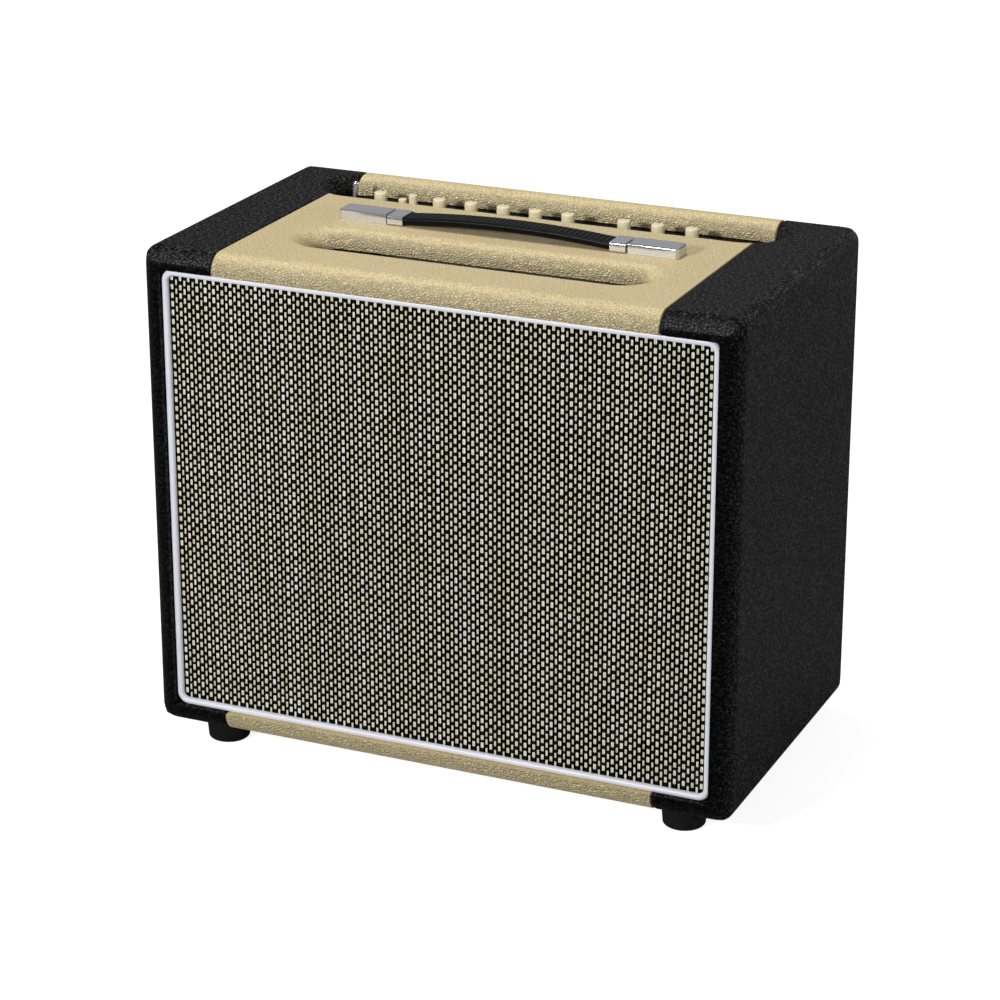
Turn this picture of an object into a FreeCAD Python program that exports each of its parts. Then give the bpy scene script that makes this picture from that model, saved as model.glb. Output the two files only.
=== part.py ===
import FreeCAD, Part
import math
import os

Vec = FreeCAD.Vector

# Guitar amplifier, 1x12 combo. Millimetres, +Z up, front faces -Y, +X to the right seen from the front.
# The origin is on the floor, under the middle of the cabinet.

# --- cabinet ---
WIDTH = 520.0
DEPTH = 302.0
BODY_HEIGHT = 422.0
FOOT_HEIGHT = 20.0
PLY = 15.0
COVER = 1.2
CORNER_R = 12.0
EDGE_R = 16.0
RABBET = 8.0
BAND_END = 66.0
SEAM = 0.6
LIP_FRONT = 18.0
LIP_REAR = 12.0

# --- openings in the top ---
VENT_END = 109.0
VENT_WIDTH = 45.0
VENT_FROM_FRONT = 87.8
CONTROL_END = 55.0
CONTROL_WIDTH = 53.5
CONTROL_FROM_REAR = 56.25
OPENING_R = 13.0

# --- baffle, grille and piping ---
BAFFLE = 15.0
SPEAKER_HOLE_LIP = 14.0
SPEAKER_DROP = 8.0
FRAME_THICK = 9.2
FRAME_RIM = 34.0
FRAME_CORNER_R = 6.0
CLOTH = 0.8
PIPING_R = 3.0
PIPING_SETBACK = 4.0
PIPING_TAIL = 1.0
PIPING_CORNER_R = 11.0
BATTEN = 18.0

# --- back ---
BACK_PLY = 9.0
LOWER_BACK_HEIGHT = 102.0
UPPER_BACK_HEIGHT = 98.0
BACK_GAP = 0.5
VENT_GRILLE_END = 98.0
VENT_GRILLE_HEIGHT = 76.0
VENT_GRILLE_RIM = 10.0
VENT_SLOT_WIDTH = 8.0
VENT_SLOT_COUNT = 16
VENT_SLOT_INSET = 4.0
SHEET = 1.0

# --- feet ---
FOOT_TOP_R = 19.2
FOOT_BOTTOM_R = 17.6
FOOT_EDGE_R = 1.5
FOOT_FROM_SIDE = 50.0
FOOT_FROM_FACE = 36.0
FOOT_WELL_R = 7.0
FOOT_WELL = 10.0

# --- wood screws ---
SCREW_HEAD_R = 4.0
SCREW_HEAD = 2.4
SCREW_R = 1.9
SCREW_LENGTH = 22.0
SCREW_FROM_EDGE = 14.0
SCREW_FROM_CORNER = 20.0
SCREW_FROM_TOP = 30.0

# --- handle ---
HANDLE_REACH = 152.0
HANDLE_X = 4.0
CAP_LENGTH = 44.0
CAP_WIDTH = 21.0
CAP_HEIGHT = 8.8
CAP_CORNER_R = 3.0
CAP_EDGE = 0.9
CAP_WALL = 1.3
CAP_BLOCK = 12.0
CAP_MOUTH = 2.5
FERRULE_GAP = 1.5
FERRULE_LENGTH = 14.0
FERRULE_LIFT = 0.4
FERRULE_HEIGHT = 8.0
FERRULE_WALL = 0.7
FERRULE_EDGE_R = 1.4
STRAP_WIDTH = 22.0
STRAP_THICK = 6.6
STRAP_RISE = 4.2
STRAP_EASE_R = 75.0
STRAP_EDGE_R = 1.6
TONGUE_WIDTH = 13.0
TONGUE_END_WIDTH = 16.0
TONGUE_THICK = 1.4
TONGUE_REST = 0.3
CAP_SCREW_SPREAD = 6.0
CAP_SCREW_R = 2.0
CAP_SCREW_HEAD_R = 3.6
CAP_SCREW_HEAD = 2.4
CAP_SCREW_RISE = 6.0

# --- speaker ---
SPEAKER_R = 155.0
BOLT_INSET = 6.5
BOLT_COUNT = 8
BOLT_R = 2.4
BOLT_NUT_R = 5.0
BOLT_NUT = 4.0
BOLT_REACH = 7.0
GASKET = 2.0
GASKET_INSET = 12.0
BASKET_SHEET = 1.5
BASKET_DEPTH = 76.0
BASKET_MOUTH_INSET = 16.0
SHOULDER_INSET = 27.0
SHOULDER_DEPTH = 14.0
LEDGE_INSET = 63.0
SEAT_R = 66.0
POLE_HOLE_ROOM = 8.0
SPIDER_LEDGE = 58.0
WINDOW_COUNT = 8
WINDOW_SHARE = 0.374
WINDOW_START = 20.0
WINDOW_END = 6.0
WINDOW_INNER_INSET = 95.0
WINDOW_CORNER_R = 6.0
CONE_INSET = 33.0
CONE_DEPTH = 50.0
CONE_WALL = 0.8
ROLL_INSET = 19.6
LIP_INSET = 12.3
ROLL_SWING = 1.6
SPIDER_R = 64.0
SPIDER_SWING = 1.5
SPIDER_SHEET = 0.5
DUST_CAP_R = 30.0
DUST_CAP_RISE = 11.0
DUST_CAP_SHEET = 0.8
COIL_R = 22.4
COIL_GAP = 0.5
COIL_WALL = 0.4
WINDING = 0.6
COIL_FRONT = 3.0
MAGNET_R = 78.0
MAGNET_THICK = 22.0
MAGNET_HOLE_ROOM = 10.0
MAGNET_CHAMFER = 1.5
PLATE_THICK = 8.0
PLATE_R = 74.0
PLATE_CHAMFER = 2.0
CONE_GAP = 0.3

# --- chassis ---
CHASSIS_SIDE_ROOM = 13.0
CHASSIS_DEPTH = 119.0
CHASSIS_FROM_REAR = 18.0
CHASSIS_HEIGHT = 62.0
CHASSIS_SHEET = 1.5
FLANGE = 12.0
PANEL_PLATE = 2.0
PANEL_PLATE_DEPTH = 60.0
PLATE_DROP = 17.0

# --- controls; places along X are for a control opening of this length ---
LAYOUT_LENGTH = 410.0
CONTROL_FORWARD = 1.75
KNOB_AT = (-159.0, -103.0, -73.0, -43.0, -13.0, 17.0, 68.0, 98.5, 129.0)
BUTTONS_AT = -133.0
BUTTON_SPACING = 10.0
TOGGLE_AT = -185.0
JACK_AT = 170.0
REAR_JACK_AT = (40.0, 72.0, 128.0, 160.0)
INLET_AT = -185.0
POWER_AT = -140.0
OUTPUT_AT = 180.0
TUBE_AT = (-50.0, -5.0, 45.0, 80.0, 115.0)
KNOB_R = 5.75
KNOB_TOP_BELOW = 3.0
KNOB_LIFT = 2.0
KNOB_CHAMFER = 0.6
SHAFT_R = 3.0
SHAFT_FIT = 0.05
POT_SIDE = 14.0
POT_BODY = 9.0
POT_BORE = 1.0
BUSHING_R = 3.8
BUSHING_RISE = 1.0
KNOB_NOTCH = 2.4
KNOB_NOTCH_WIDTH = 1.0
KNOB_NOTCH_DEPTH = 0.7
KNOB_BORE = 6.0
HOLE_FIT = 0.1
BUTTON_R = 3.8
BUTTON_LENGTH = 22.0
BUTTON_IN_BELOW = 7.0
BUTTON_OUT_BELOW = 2.5
BUTTON_CLEARANCE = 0.4
SWITCH_SIDE = 9.4
SWITCH_BODY = 20.0
TOGGLE_CAN_X = 7.0
TOGGLE_CAN_Y = 9.0
TOGGLE_CAN = 14.0
TOGGLE_PIVOT = 2.0
TOGGLE_NUT_R = 9.0
TOGGLE_NUT = 2.0
TOGGLE_ABOVE = 3.0
TOGGLE_LEAN = 13.0
TOGGLE_BALL_R = 3.0
TOGGLE_NECK_R = 1.5
TOGGLE_TIP_R = 2.3
TOGGLE_BUSHING_R = 5.9
TOGGLE_BUSHING_RISE = 5.0
TOGGLE_CLEARANCE = 0.3
JACK_BORE_R = 3.25
JACK_BARREL_R = 5.5
JACK_NUT_R = 7.5
JACK_NUT = 2.0
JACK_BODY = 20.0
JACK_DEPTH = 24.0
JACK_RISE = 4.0
MAINS_PLATE = 2.5
MAINS_PLATE_HALF = 17.0
MAINS_CORNER_R = 3.0
MAINS_FIT = 0.2
INLET_HALF_X = 15.0
INLET_HALF_Z = 12.0
INLET_DEPTH = 22.0
INLET_RIM = 4.0
CAVITY_HALF_X = 12.0
CAVITY_HALF_Z = 8.0
CAVITY_DEPTH = 15.0
PIN_SPREAD = 7.0
PIN_DROP = 1.5
PIN_RISE = 2.5
PIN_HALF_X = 1.0
PIN_HALF_Z = 2.0
ROCKER_FROM_INLET = 40.0
ROCKER_RIM = 5.0
SWITCH_HALF_X = 9.0
SWITCH_HALF_Z = 13.0
SWITCH_DEPTH = 16.0
WELL_RIM = 2.0
WELL_SIDE = 2.5
WELL_DEPTH = 9.0
ROCKER_REACH = 9.6
ROCKER_SIDE_GAP = 0.4
ROCKER_HUB = 3.0
ROCKER_LIP = 5.4
ROCKER_DIP = 4.0
ROCKER_THICK = 1.5
ROCKER_THROW = 20.0

# --- under the chassis ---
POWER_BOX = (88.0, 76.0, 62.0)
OUTPUT_BOX = (68.0, 60.0, 50.0)
LAMINATION = 30.0
BELL_INSET = 8.0
BELL_GAP = 4.0
BELL_R = 7.0
TUBE_LENGTH = (72.0, 72.0, 52.0, 52.0, 52.0)
TUBE_R = 11.0
SOCKET_R = 13.5
SOCKET = 10.0
SOCKET_STEP = 2.5
SOCKET_CORE = 6.0
TUBE_SEAT = 4.0

# --- worked out from the sizes above ---
WALL = PLY + 2 * COVER
BOTTOM = FOOT_HEIGHT
TOP = FOOT_HEIGHT + BODY_HEIGHT
FRONT = -DEPTH / 2
REAR = DEPTH / 2
BAND_HALF = WIDTH / 2 - BAND_END
VENT_LENGTH = WIDTH - 2 * VENT_END
CONTROL_LENGTH = WIDTH - 2 * CONTROL_END
VENT_GRILLE_LENGTH = WIDTH - 2 * VENT_GRILLE_END
OPEN_X = WIDTH / 2 - WALL
OPEN_LOW = BOTTOM + WALL
OPEN_HIGH = TOP - WALL
INNER_X = OPEN_X + COVER
INNER_LOW = OPEN_LOW - COVER
INNER_HIGH = OPEN_HIGH + COVER
VENT_Y = FRONT + VENT_FROM_FRONT
OPENING_Y = REAR - CONTROL_FROM_REAR
CONTROL_Y = OPENING_Y - CONTROL_FORWARD
BAFFLE_FRONT = FRONT + LIP_FRONT
BAFFLE_REAR = BAFFLE_FRONT + BAFFLE
SPEAKER_Z = BOTTOM + BODY_HEIGHT / 2 - SPEAKER_DROP
SPEAKER_HOLE_R = SPEAKER_R - SPEAKER_HOLE_LIP
CONE_R = SPEAKER_R - CONE_INSET
ROLL_R = SPEAKER_R - ROLL_INSET
FRAME_FRONT = BAFFLE_FRONT - FRAME_THICK
CLOTH_FRONT = FRAME_FRONT - CLOTH
CLOTH_X = OPEN_X - PIPING_TAIL
BACK_OUTER = REAR - LIP_REAR + BACK_PLY
BACK_INNER = REAR - LIP_REAR
BASKET_Y = BAFFLE_REAR + GASKET
PLATE_TOP = TOP - PLATE_DROP
CHASSIS_WIDTH = 2 * (INNER_X - CHASSIS_SIDE_ROOM)
CHASSIS_REAR_Y = REAR - CHASSIS_FROM_REAR
CHASSIS_FRONT_Y = CHASSIS_REAR_Y - CHASSIS_DEPTH
CHASSIS_TOP = PLATE_TOP - PANEL_PLATE
CHASSIS_LOW = CHASSIS_TOP - CHASSIS_HEIGHT
CHASSIS_Z = (CHASSIS_TOP + CHASSIS_LOW) / 2
BASE_LOW = CHASSIS_LOW - CHASSIS_SHEET
RAIL_X = CHASSIS_WIDTH / 2 + 0.5
UPPER_BACK_TOP = BASE_LOW - 1.0
KNOB_TOP = TOP - KNOB_TOP_BELOW
KNOB_LOW = PLATE_TOP + KNOB_LIFT
FOOT_X = WIDTH / 2 - FOOT_FROM_SIDE
FOOT_Y = DEPTH / 2 - FOOT_FROM_FACE
SPREAD = CONTROL_LENGTH / LAYOUT_LENGTH
KNOB_X = [SPREAD * x for x in KNOB_AT]
BUTTON_IN_X = SPREAD * BUTTONS_AT - BUTTON_SPACING / 2
BUTTON_OUT_X = BUTTON_IN_X + BUTTON_SPACING
TOGGLE_X = SPREAD * TOGGLE_AT
JACK_X = SPREAD * JACK_AT
REAR_JACK_X = [SPREAD * x for x in REAR_JACK_AT]
INLET_X = SPREAD * INLET_AT
ROCKER_X = INLET_X + ROCKER_FROM_INLET
POWER_X = SPREAD * POWER_AT
OUTPUT_X = SPREAD * OUTPUT_AT
TUBE_X = [SPREAD * x for x in TUBE_AT]
TUBE_Y = (CHASSIS_FRONT_Y + CHASSIS_REAR_Y) / 2


def box(x0, x1, y0, y1, z0, z1):
    return Part.makeBox(x1 - x0, y1 - y0, z1 - z0, Vec(x0, y0, z0))


def rod(radius, x, y, z, length, axis=(0, 0, 1)):
    return Part.makeCylinder(radius, length, Vec(x, y, z), Vec(*axis))


def line(a, b):
    return Part.LineSegment(a, b).toShape()


def arc(a, middle, b):
    return Part.Arc(a, middle, b).toShape()


def revolve(points, base, axis):
    """Turns a closed outline of straight runs, given as vectors, right round an axis."""
    face = Part.Face(Part.makePolygon(points + [points[0]]))
    return face.revolve(base, axis, 360)


def speaker_turn(profile):
    """Turns an outline of (radius, depth behind the baffle) pairs about the speaker's axis."""
    points = [Vec(r, BASKET_Y + d, SPEAKER_Z) for r, d in profile]
    return revolve(points, Vec(0, 0, SPEAKER_Z), Vec(0, 1, 0))


def stadium(center_y, half_length, half_width, z, height):
    """An upright prism with straight sides along X and half-round ends."""
    x = half_length - half_width
    front = center_y - half_width
    rear = center_y + half_width
    outline = Part.Wire([
        line(Vec(-x, front, z), Vec(x, front, z)),
        arc(Vec(x, front, z), Vec(half_length, center_y, z), Vec(x, rear, z)),
        line(Vec(x, rear, z), Vec(-x, rear, z)),
        arc(Vec(-x, rear, z), Vec(-half_length, center_y, z), Vec(-x, front, z)),
    ])
    return Part.Face(outline).extrude(Vec(0, 0, height))


def rounded_slab(half_x, low, high, radius, y0, y1):
    """A block seen from the front as a rectangle with four round corners."""
    slab = box(-half_x, half_x, y0, y1, low, high)
    corners = [e for e in slab.Edges if e.BoundBox.YLength > (y1 - y0) / 2]
    return slab.makeFillet(radius, corners)


def hexagon(radius, x, y, z, height, axis=(0, 0, 1)):
    """A nut blank, radius taken to its corners."""
    direction = Vec(*axis)
    turn = FreeCAD.Rotation(Vec(0, 0, 1), direction)
    points = []
    for k in range(7):
        angle = math.radians(60 * k)
        spoke = turn.multVec(Vec(radius * math.cos(angle), radius * math.sin(angle), 0))
        points.append(Vec(x, y, z) + spoke)
    return Part.Face(Part.makePolygon(points)).extrude(direction * height)


def one(shapes):
    """Several solids that belong to one node."""
    solids = []
    for shape in shapes:
        solids.extend(shape.Solids)
    return Part.makeCompound(solids)


def envelope(inset):
    """The outer block of the cabinet, drawn in by an inset, with each edge run off by a router."""
    half_x = WIDTH / 2 - inset
    half_y = DEPTH / 2 - inset
    block = box(-half_x, half_x, -half_y, half_y, BOTTOM + inset, TOP - inset)
    along_y = [e for e in block.Edges if e.BoundBox.YLength > half_y]
    along_x = [e for e in block.Edges if e.BoundBox.XLength > half_y]
    along_z = [e for e in block.Edges if e.BoundBox.ZLength > half_y]
    rounded = block.makeFillet(CORNER_R - inset, along_y)
    for edges in (along_x, along_z):
        rounded = rounded.common(block.makeFillet(EDGE_R - inset, edges))
    return rounded.removeSplitter()


def carcass(inset):
    """The four walls as one shell with both openings scooped into the top."""
    shell = envelope(inset)
    open_x = OPEN_X + inset
    shell = shell.cut(box(-open_x, open_x, -DEPTH, DEPTH, OPEN_LOW - inset, OPEN_HIGH + inset))
    below = TOP - 2 * WALL
    sizes = ((VENT_Y, VENT_LENGTH, VENT_WIDTH), (OPENING_Y, CONTROL_LENGTH, CONTROL_WIDTH))
    for center_y, length, width in sizes:
        hole = stadium(center_y, length / 2 + inset, width / 2 + inset, below, 3 * WALL)
        shell = shell.cut(hole)
    rims = []
    for edge in shell.Edges:
        b = edge.BoundBox
        flat = b.ZLength < 0.01 and abs(b.ZMax - (TOP - inset)) < 0.01
        for center_y, length, width in sizes:
            inside = (b.XMax < length / 2 + inset + 0.01 and b.XMin > -length / 2 - inset - 0.01
                      and abs(b.YMin - center_y) < width / 2 + inset + 0.01
                      and abs(b.YMax - center_y) < width / 2 + inset + 0.01)
            if flat and inside:
                rims.append(edge)
    return shell.makeFillet(OPENING_R - inset, rims)


def cabinet():
    """Plywood panels and the covering glued over them."""
    core = carcass(COVER)
    far = 2 * WIDTH
    nodes = {}
    tongue_x = INNER_X + RABBET
    top_zone = box(-tongue_x, tongue_x, -far, far, INNER_HIGH, far)
    bottom_zone = box(-tongue_x, tongue_x, -far, far, -far, INNER_LOW)
    nodes["top_panel"] = core.common(top_zone)
    nodes["bottom_panel"] = core.common(bottom_zone)
    sides = core.cut(top_zone).cut(bottom_zone)
    nodes["left_side_panel"] = sides.common(box(-far, 0, -far, far, -far, far))
    nodes["right_side_panel"] = sides.common(box(0, far, -far, far, -far, far))

    skin = carcass(0).cut(core)
    bare = box(-INNER_X, INNER_X, FRONT + LIP_FRONT, REAR - LIP_REAR, INNER_LOW, INNER_HIGH)
    skin = skin.cut(bare)
    edge_x = BAND_HALF + SEAM / 2
    nodes["black_covering_left"] = skin.common(box(-far, -edge_x, -far, far, -far, far))
    nodes["black_covering_right"] = skin.common(box(edge_x, far, -far, far, -far, far))
    band_x = BAND_HALF - SEAM / 2
    middle = skin.common(box(-band_x, band_x, -far, far, -far, far))
    nodes["cream_covering_bottom"] = middle.common(box(-far, far, -far, far, -far, OPEN_LOW + 1))
    upper = middle.common(box(-far, far, -far, far, OPEN_HIGH - 1, far))
    nodes["cream_covering_top"] = upper.common(box(-far, far, -far, OPENING_Y, -far, far))
    nodes["cream_covering_rear_bar"] = upper.common(box(-far, far, OPENING_Y, far, -far, far))
    return nodes


def baffle():
    """Baffle board with its speaker hole, and the battens that carry it."""
    board = box(-INNER_X, INNER_X, BAFFLE_FRONT, BAFFLE_REAR, INNER_LOW, INNER_HIGH)
    board = board.cut(rod(SPEAKER_HOLE_R, 0, BAFFLE_FRONT - 1, SPEAKER_Z, BAFFLE + 2, (0, 1, 0)))
    deep = BAFFLE_REAR + BATTEN
    inside = INNER_X - BATTEN
    strips = [
        box(-INNER_X, -inside, BAFFLE_REAR, deep, INNER_LOW, INNER_HIGH),
        box(inside, INNER_X, BAFFLE_REAR, deep, INNER_LOW, INNER_HIGH),
        box(-inside, inside, BAFFLE_REAR, deep, INNER_LOW, INNER_LOW + BATTEN),
        box(-inside, inside, BAFFLE_REAR, deep, INNER_HIGH - BATTEN, INNER_HIGH),
    ]
    rear = BACK_INNER - BATTEN
    rail_low = CHASSIS_LOW - CHASSIS_SHEET - BATTEN
    strips += [
        box(-INNER_X, -inside, rear, BACK_INNER, INNER_LOW, rail_low),
        box(inside, INNER_X, rear, BACK_INNER, INNER_LOW, rail_low),
        box(-inside, inside, rear, BACK_INNER, INNER_LOW, INNER_LOW + BATTEN),
        box(-INNER_X, -RAIL_X, CHASSIS_FRONT_Y, BACK_INNER, rail_low, rail_low + BATTEN),
        box(RAIL_X, INNER_X, CHASSIS_FRONT_Y, BACK_INNER, rail_low, rail_low + BATTEN),
    ]
    return {"baffle_board": board, "battens": one(strips)}


def grille():
    """Grille frame, the cloth stretched round it, and the piping in the corner in front."""
    cloth_low = OPEN_LOW + PIPING_TAIL
    cloth_high = OPEN_HIGH - PIPING_TAIL
    cloth_r = PIPING_CORNER_R - PIPING_TAIL
    tray = rounded_slab(CLOTH_X, cloth_low, cloth_high, cloth_r, CLOTH_FRONT, BAFFLE_FRONT)
    blank = rounded_slab(CLOTH_X - CLOTH, cloth_low + CLOTH, cloth_high - CLOTH, cloth_r - CLOTH,
                         FRAME_FRONT, BAFFLE_FRONT)
    window = rounded_slab(CLOTH_X - FRAME_RIM, cloth_low + FRAME_RIM, cloth_high - FRAME_RIM,
                          FRAME_CORNER_R, FRAME_FRONT - 1, BAFFLE_FRONT + 1)
    bead_y = FRONT + PIPING_SETBACK + PIPING_R
    path_x = OPEN_X - PIPING_R
    path = rounded_slab(path_x, OPEN_LOW + PIPING_R, OPEN_HIGH - PIPING_R,
                        PIPING_CORNER_R - PIPING_R, bead_y, bead_y + 1)
    flat_faces = [f for f in path.Faces if f.BoundBox.YLength < 0.01]
    front_face = min(flat_faces, key=lambda f: f.BoundBox.YMax)
    circle = Part.Wire(Part.makeCircle(PIPING_R, Vec(0, bead_y, OPEN_LOW + PIPING_R), Vec(1, 0, 0)))
    bead = front_face.OuterWire.makePipeShell([circle], True, False)
    tail = rounded_slab(OPEN_X, OPEN_LOW, OPEN_HIGH, PIPING_CORNER_R, bead_y, BAFFLE_FRONT)
    tail = tail.cut(rounded_slab(CLOTH_X, cloth_low, cloth_high, cloth_r, bead_y - 1, BAFFLE_FRONT + 1))
    return {
        "grille_frame": blank.cut(window),
        "grille_cloth": tray.cut(blank),
        "white_piping": bead.fuse(tail).cut(tray).removeSplitter(),
    }


def wood_screw(x, y, z, axis):
    """A pan-head screw whose head sits on the surface at the point and points along the axis."""
    into = Vec(*axis) * -1
    head = rod(SCREW_HEAD_R, x, y, z, SCREW_HEAD, axis)
    shank = rod(SCREW_R, x, y, z, SCREW_LENGTH, tuple(into))
    return head.fuse(shank)


def screws():
    """All wood screws: back panels, feet and chassis."""
    found = []
    mid_batten = INNER_X - BATTEN / 2
    lower_z = (OPEN_LOW + SCREW_FROM_CORNER, OPEN_LOW + LOWER_BACK_HEIGHT - SCREW_FROM_EDGE)
    upper_z = (UPPER_BACK_TOP - UPPER_BACK_HEIGHT + SCREW_FROM_EDGE, UPPER_BACK_TOP - SCREW_FROM_TOP)
    for side in (-1, 1):
        for z in lower_z + upper_z:
            found.append(wood_screw(side * mid_batten, BACK_OUTER, z, (0, 1, 0)))
        for y in (-FOOT_Y, FOOT_Y):
            found.append(wood_screw(side * FOOT_X, y, FOOT_WELL, (0, 0, -1)))
        for y in (CHASSIS_FRONT_Y + SCREW_FROM_CORNER, CHASSIS_REAR_Y - SCREW_FROM_CORNER):
            x = side * (RAIL_X + INNER_X) / 2
            found.append(wood_screw(x, y, CHASSIS_LOW, (0, 0, 1)))
    return found


def back_panels():
    """Lower and upper back panels with the ventilation grille on the upper one."""
    half_x = OPEN_X - BACK_GAP
    low = OPEN_LOW + BACK_GAP
    lower = box(-half_x, half_x, BACK_INNER, BACK_OUTER, low, OPEN_LOW + LOWER_BACK_HEIGHT)
    upper_low = UPPER_BACK_TOP - UPPER_BACK_HEIGHT
    upper = box(-half_x, half_x, BACK_INNER, BACK_OUTER, upper_low, UPPER_BACK_TOP)
    middle = (upper_low + UPPER_BACK_TOP) / 2
    hole_x = VENT_GRILLE_LENGTH / 2 - VENT_GRILLE_RIM
    hole_z = VENT_GRILLE_HEIGHT / 2 - VENT_GRILLE_RIM
    far = 2 * DEPTH
    upper = upper.cut(box(-hole_x, hole_x, -far, far, middle - hole_z, middle + hole_z))
    plate = box(-VENT_GRILLE_LENGTH / 2, VENT_GRILLE_LENGTH / 2, BACK_OUTER, BACK_OUTER + SHEET,
                middle - VENT_GRILLE_HEIGHT / 2, middle + VENT_GRILLE_HEIGHT / 2)
    pitch = 2 * hole_x / VENT_SLOT_COUNT
    for k in range(VENT_SLOT_COUNT):
        x = -hole_x + pitch * (k + 0.5)
        slot = box(x - VENT_SLOT_WIDTH / 2, x + VENT_SLOT_WIDTH / 2, -far, far,
                   middle - hole_z + VENT_SLOT_INSET, middle + hole_z - VENT_SLOT_INSET)
        plate = plate.cut(slot)
    return {"lower_back_panel": lower, "upper_back_panel": upper, "vent_grille": plate}


def foot(x, y):
    """A tapered rubber foot with a screw well in its base."""
    body = Part.makeCone(FOOT_BOTTOM_R, FOOT_TOP_R, FOOT_HEIGHT, Vec(x, y, 0), Vec(0, 0, 1))
    rim = [e for e in body.Edges if e.BoundBox.ZMax < 0.01]
    body = body.makeChamfer(FOOT_EDGE_R, rim)
    return body.cut(rod(FOOT_WELL_R, x, y, -1, FOOT_WELL + 1))


def strap_profile(half):
    """Side view of the strap: flat in the ferrules, eased up into one long arch."""
    reach = HANDLE_REACH - CAP_LENGTH - FERRULE_GAP - FERRULE_LENGTH
    end = reach + FERRULE_LENGTH - 2.0
    middle_z = TOP + FERRULE_LIFT + FERRULE_HEIGHT / 2
    lean = 2 * math.atan(STRAP_RISE / reach)
    arch_r = reach / math.sin(lean) - STRAP_EASE_R
    ease_z = middle_z + STRAP_EASE_R
    arch_z = middle_z + STRAP_RISE - arch_r

    def ease(side, offset, angle):
        r = STRAP_EASE_R - offset
        return Vec(side * (reach - r * math.sin(angle)), 0, ease_z - r * math.cos(angle))

    def edge_run(offset):
        r = arch_r + offset
        crown = Vec(0, 0, arch_z + r)
        left = ease(-1, offset, lean)
        right = ease(1, offset, lean)
        return [
            line(Vec(-end, 0, middle_z + offset), ease(-1, offset, 0)),
            arc(ease(-1, offset, 0), ease(-1, offset, lean / 2), left),
            arc(left, crown, right),
            arc(right, ease(1, offset, lean / 2), ease(1, offset, 0)),
            line(ease(1, offset, 0), Vec(end, 0, middle_z + offset)),
        ]

    sides = [line(Vec(s * end, 0, middle_z - half), Vec(s * end, 0, middle_z + half)) for s in (-1, 1)]
    return Part.Wire(Part.sortEdges(edge_run(half) + edge_run(-half) + sides)[0])


def handle():
    """Strap handle: end caps on the top, ferrules with steel tongues free inside them, moulded strap."""
    face = Part.Face(strap_profile(STRAP_THICK / 2))
    face.translate(Vec(0, -STRAP_WIDTH / 2, 0))
    strap = face.extrude(Vec(0, STRAP_WIDTH, 0))
    rims = [e for e in strap.Edges if e.BoundBox.YLength < 0.01 and e.BoundBox.XLength > 1]
    strap = strap.makeFillet(STRAP_EDGE_R, rims)
    nodes = {"handle_strap": strap}
    inner = HANDLE_REACH - CAP_LENGTH
    mouth = inner - FERRULE_GAP
    low = TOP + FERRULE_LIFT
    bolts = []
    for side, name in ((-1, "left"), (1, "right")):
        half_w = STRAP_WIDTH / 2 + FERRULE_WALL
        sleeve = box(mouth - FERRULE_LENGTH, mouth, -half_w, half_w, low, low + FERRULE_HEIGHT)
        long_edges = [e for e in sleeve.Edges if e.BoundBox.XLength > 1]
        sleeve = sleeve.makeFillet(FERRULE_EDGE_R, long_edges)
        tongue_low = TOP + CAP_WALL + TONGUE_REST
        tongue_high = tongue_low + TONGUE_THICK
        block_x = HANDLE_REACH - CAP_BLOCK
        head_x = block_x - 6.0
        tongue = box(mouth - 1, head_x, -TONGUE_WIDTH / 2, TONGUE_WIDTH / 2, tongue_low, tongue_high)
        head = box(head_x - 8.0, head_x, -TONGUE_END_WIDTH / 2, TONGUE_END_WIDTH / 2,
                   tongue_low, tongue_high)
        cap = box(inner, HANDLE_REACH, -CAP_WIDTH / 2, CAP_WIDTH / 2, TOP, TOP + CAP_HEIGHT)
        corners = [e for e in cap.Edges if e.BoundBox.ZLength > 1 and e.BoundBox.XMin > inner + 1]
        cap = cap.makeFillet(CAP_CORNER_R, corners)
        top_edges = [e for e in cap.Edges if e.BoundBox.ZMin > TOP + CAP_HEIGHT - 0.01]
        cap = cap.makeChamfer(CAP_EDGE, top_edges)
        room_y = CAP_WIDTH / 2 - CAP_WALL
        door_y = TONGUE_WIDTH / 2 + 0.7
        room = box(inner + CAP_MOUTH, block_x, -room_y, room_y, TOP + CAP_WALL, TOP + CAP_HEIGHT - CAP_WALL)
        door = box(inner - 1, block_x, -door_y, door_y, TOP + CAP_WALL, TOP + CAP_HEIGHT - CAP_WALL)
        cap = cap.cut(room.fuse(door))
        for y in (-CAP_SCREW_SPREAD, CAP_SCREW_SPREAD):
            x = HANDLE_REACH - CAP_BLOCK / 2
            stem = rod(CAP_SCREW_R, x, y, INNER_HIGH, TOP + CAP_SCREW_RISE - INNER_HIGH)
            bolt_head = rod(CAP_SCREW_HEAD_R, x, y, INNER_HIGH - CAP_SCREW_HEAD, CAP_SCREW_HEAD)
            bolts.append(stem.fuse(bolt_head))
        pieces = {"handle_ferrule_" + name: sleeve.fuse(tongue.fuse(head)), "handle_cap_" + name: cap}
        for key, shape in pieces.items():
            if side < 0:
                shape = shape.mirror(Vec(0, 0, 0), Vec(1, 0, 0))
            nodes[key] = shape
        if side < 0:
            bolts = [b.mirror(Vec(0, 0, 0), Vec(1, 0, 0)) for b in bolts]
        nodes["handle_ferrule_" + name] = nodes["handle_ferrule_" + name].cut(strap)
    nodes["handle_screws"] = one(bolts)
    for name in ("left", "right"):
        nodes["handle_cap_" + name] = nodes["handle_cap_" + name].cut(nodes["handle_screws"])
    for shape in nodes.values():
        shape.translate(Vec(HANDLE_X, 0, 0))
    return nodes


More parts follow.
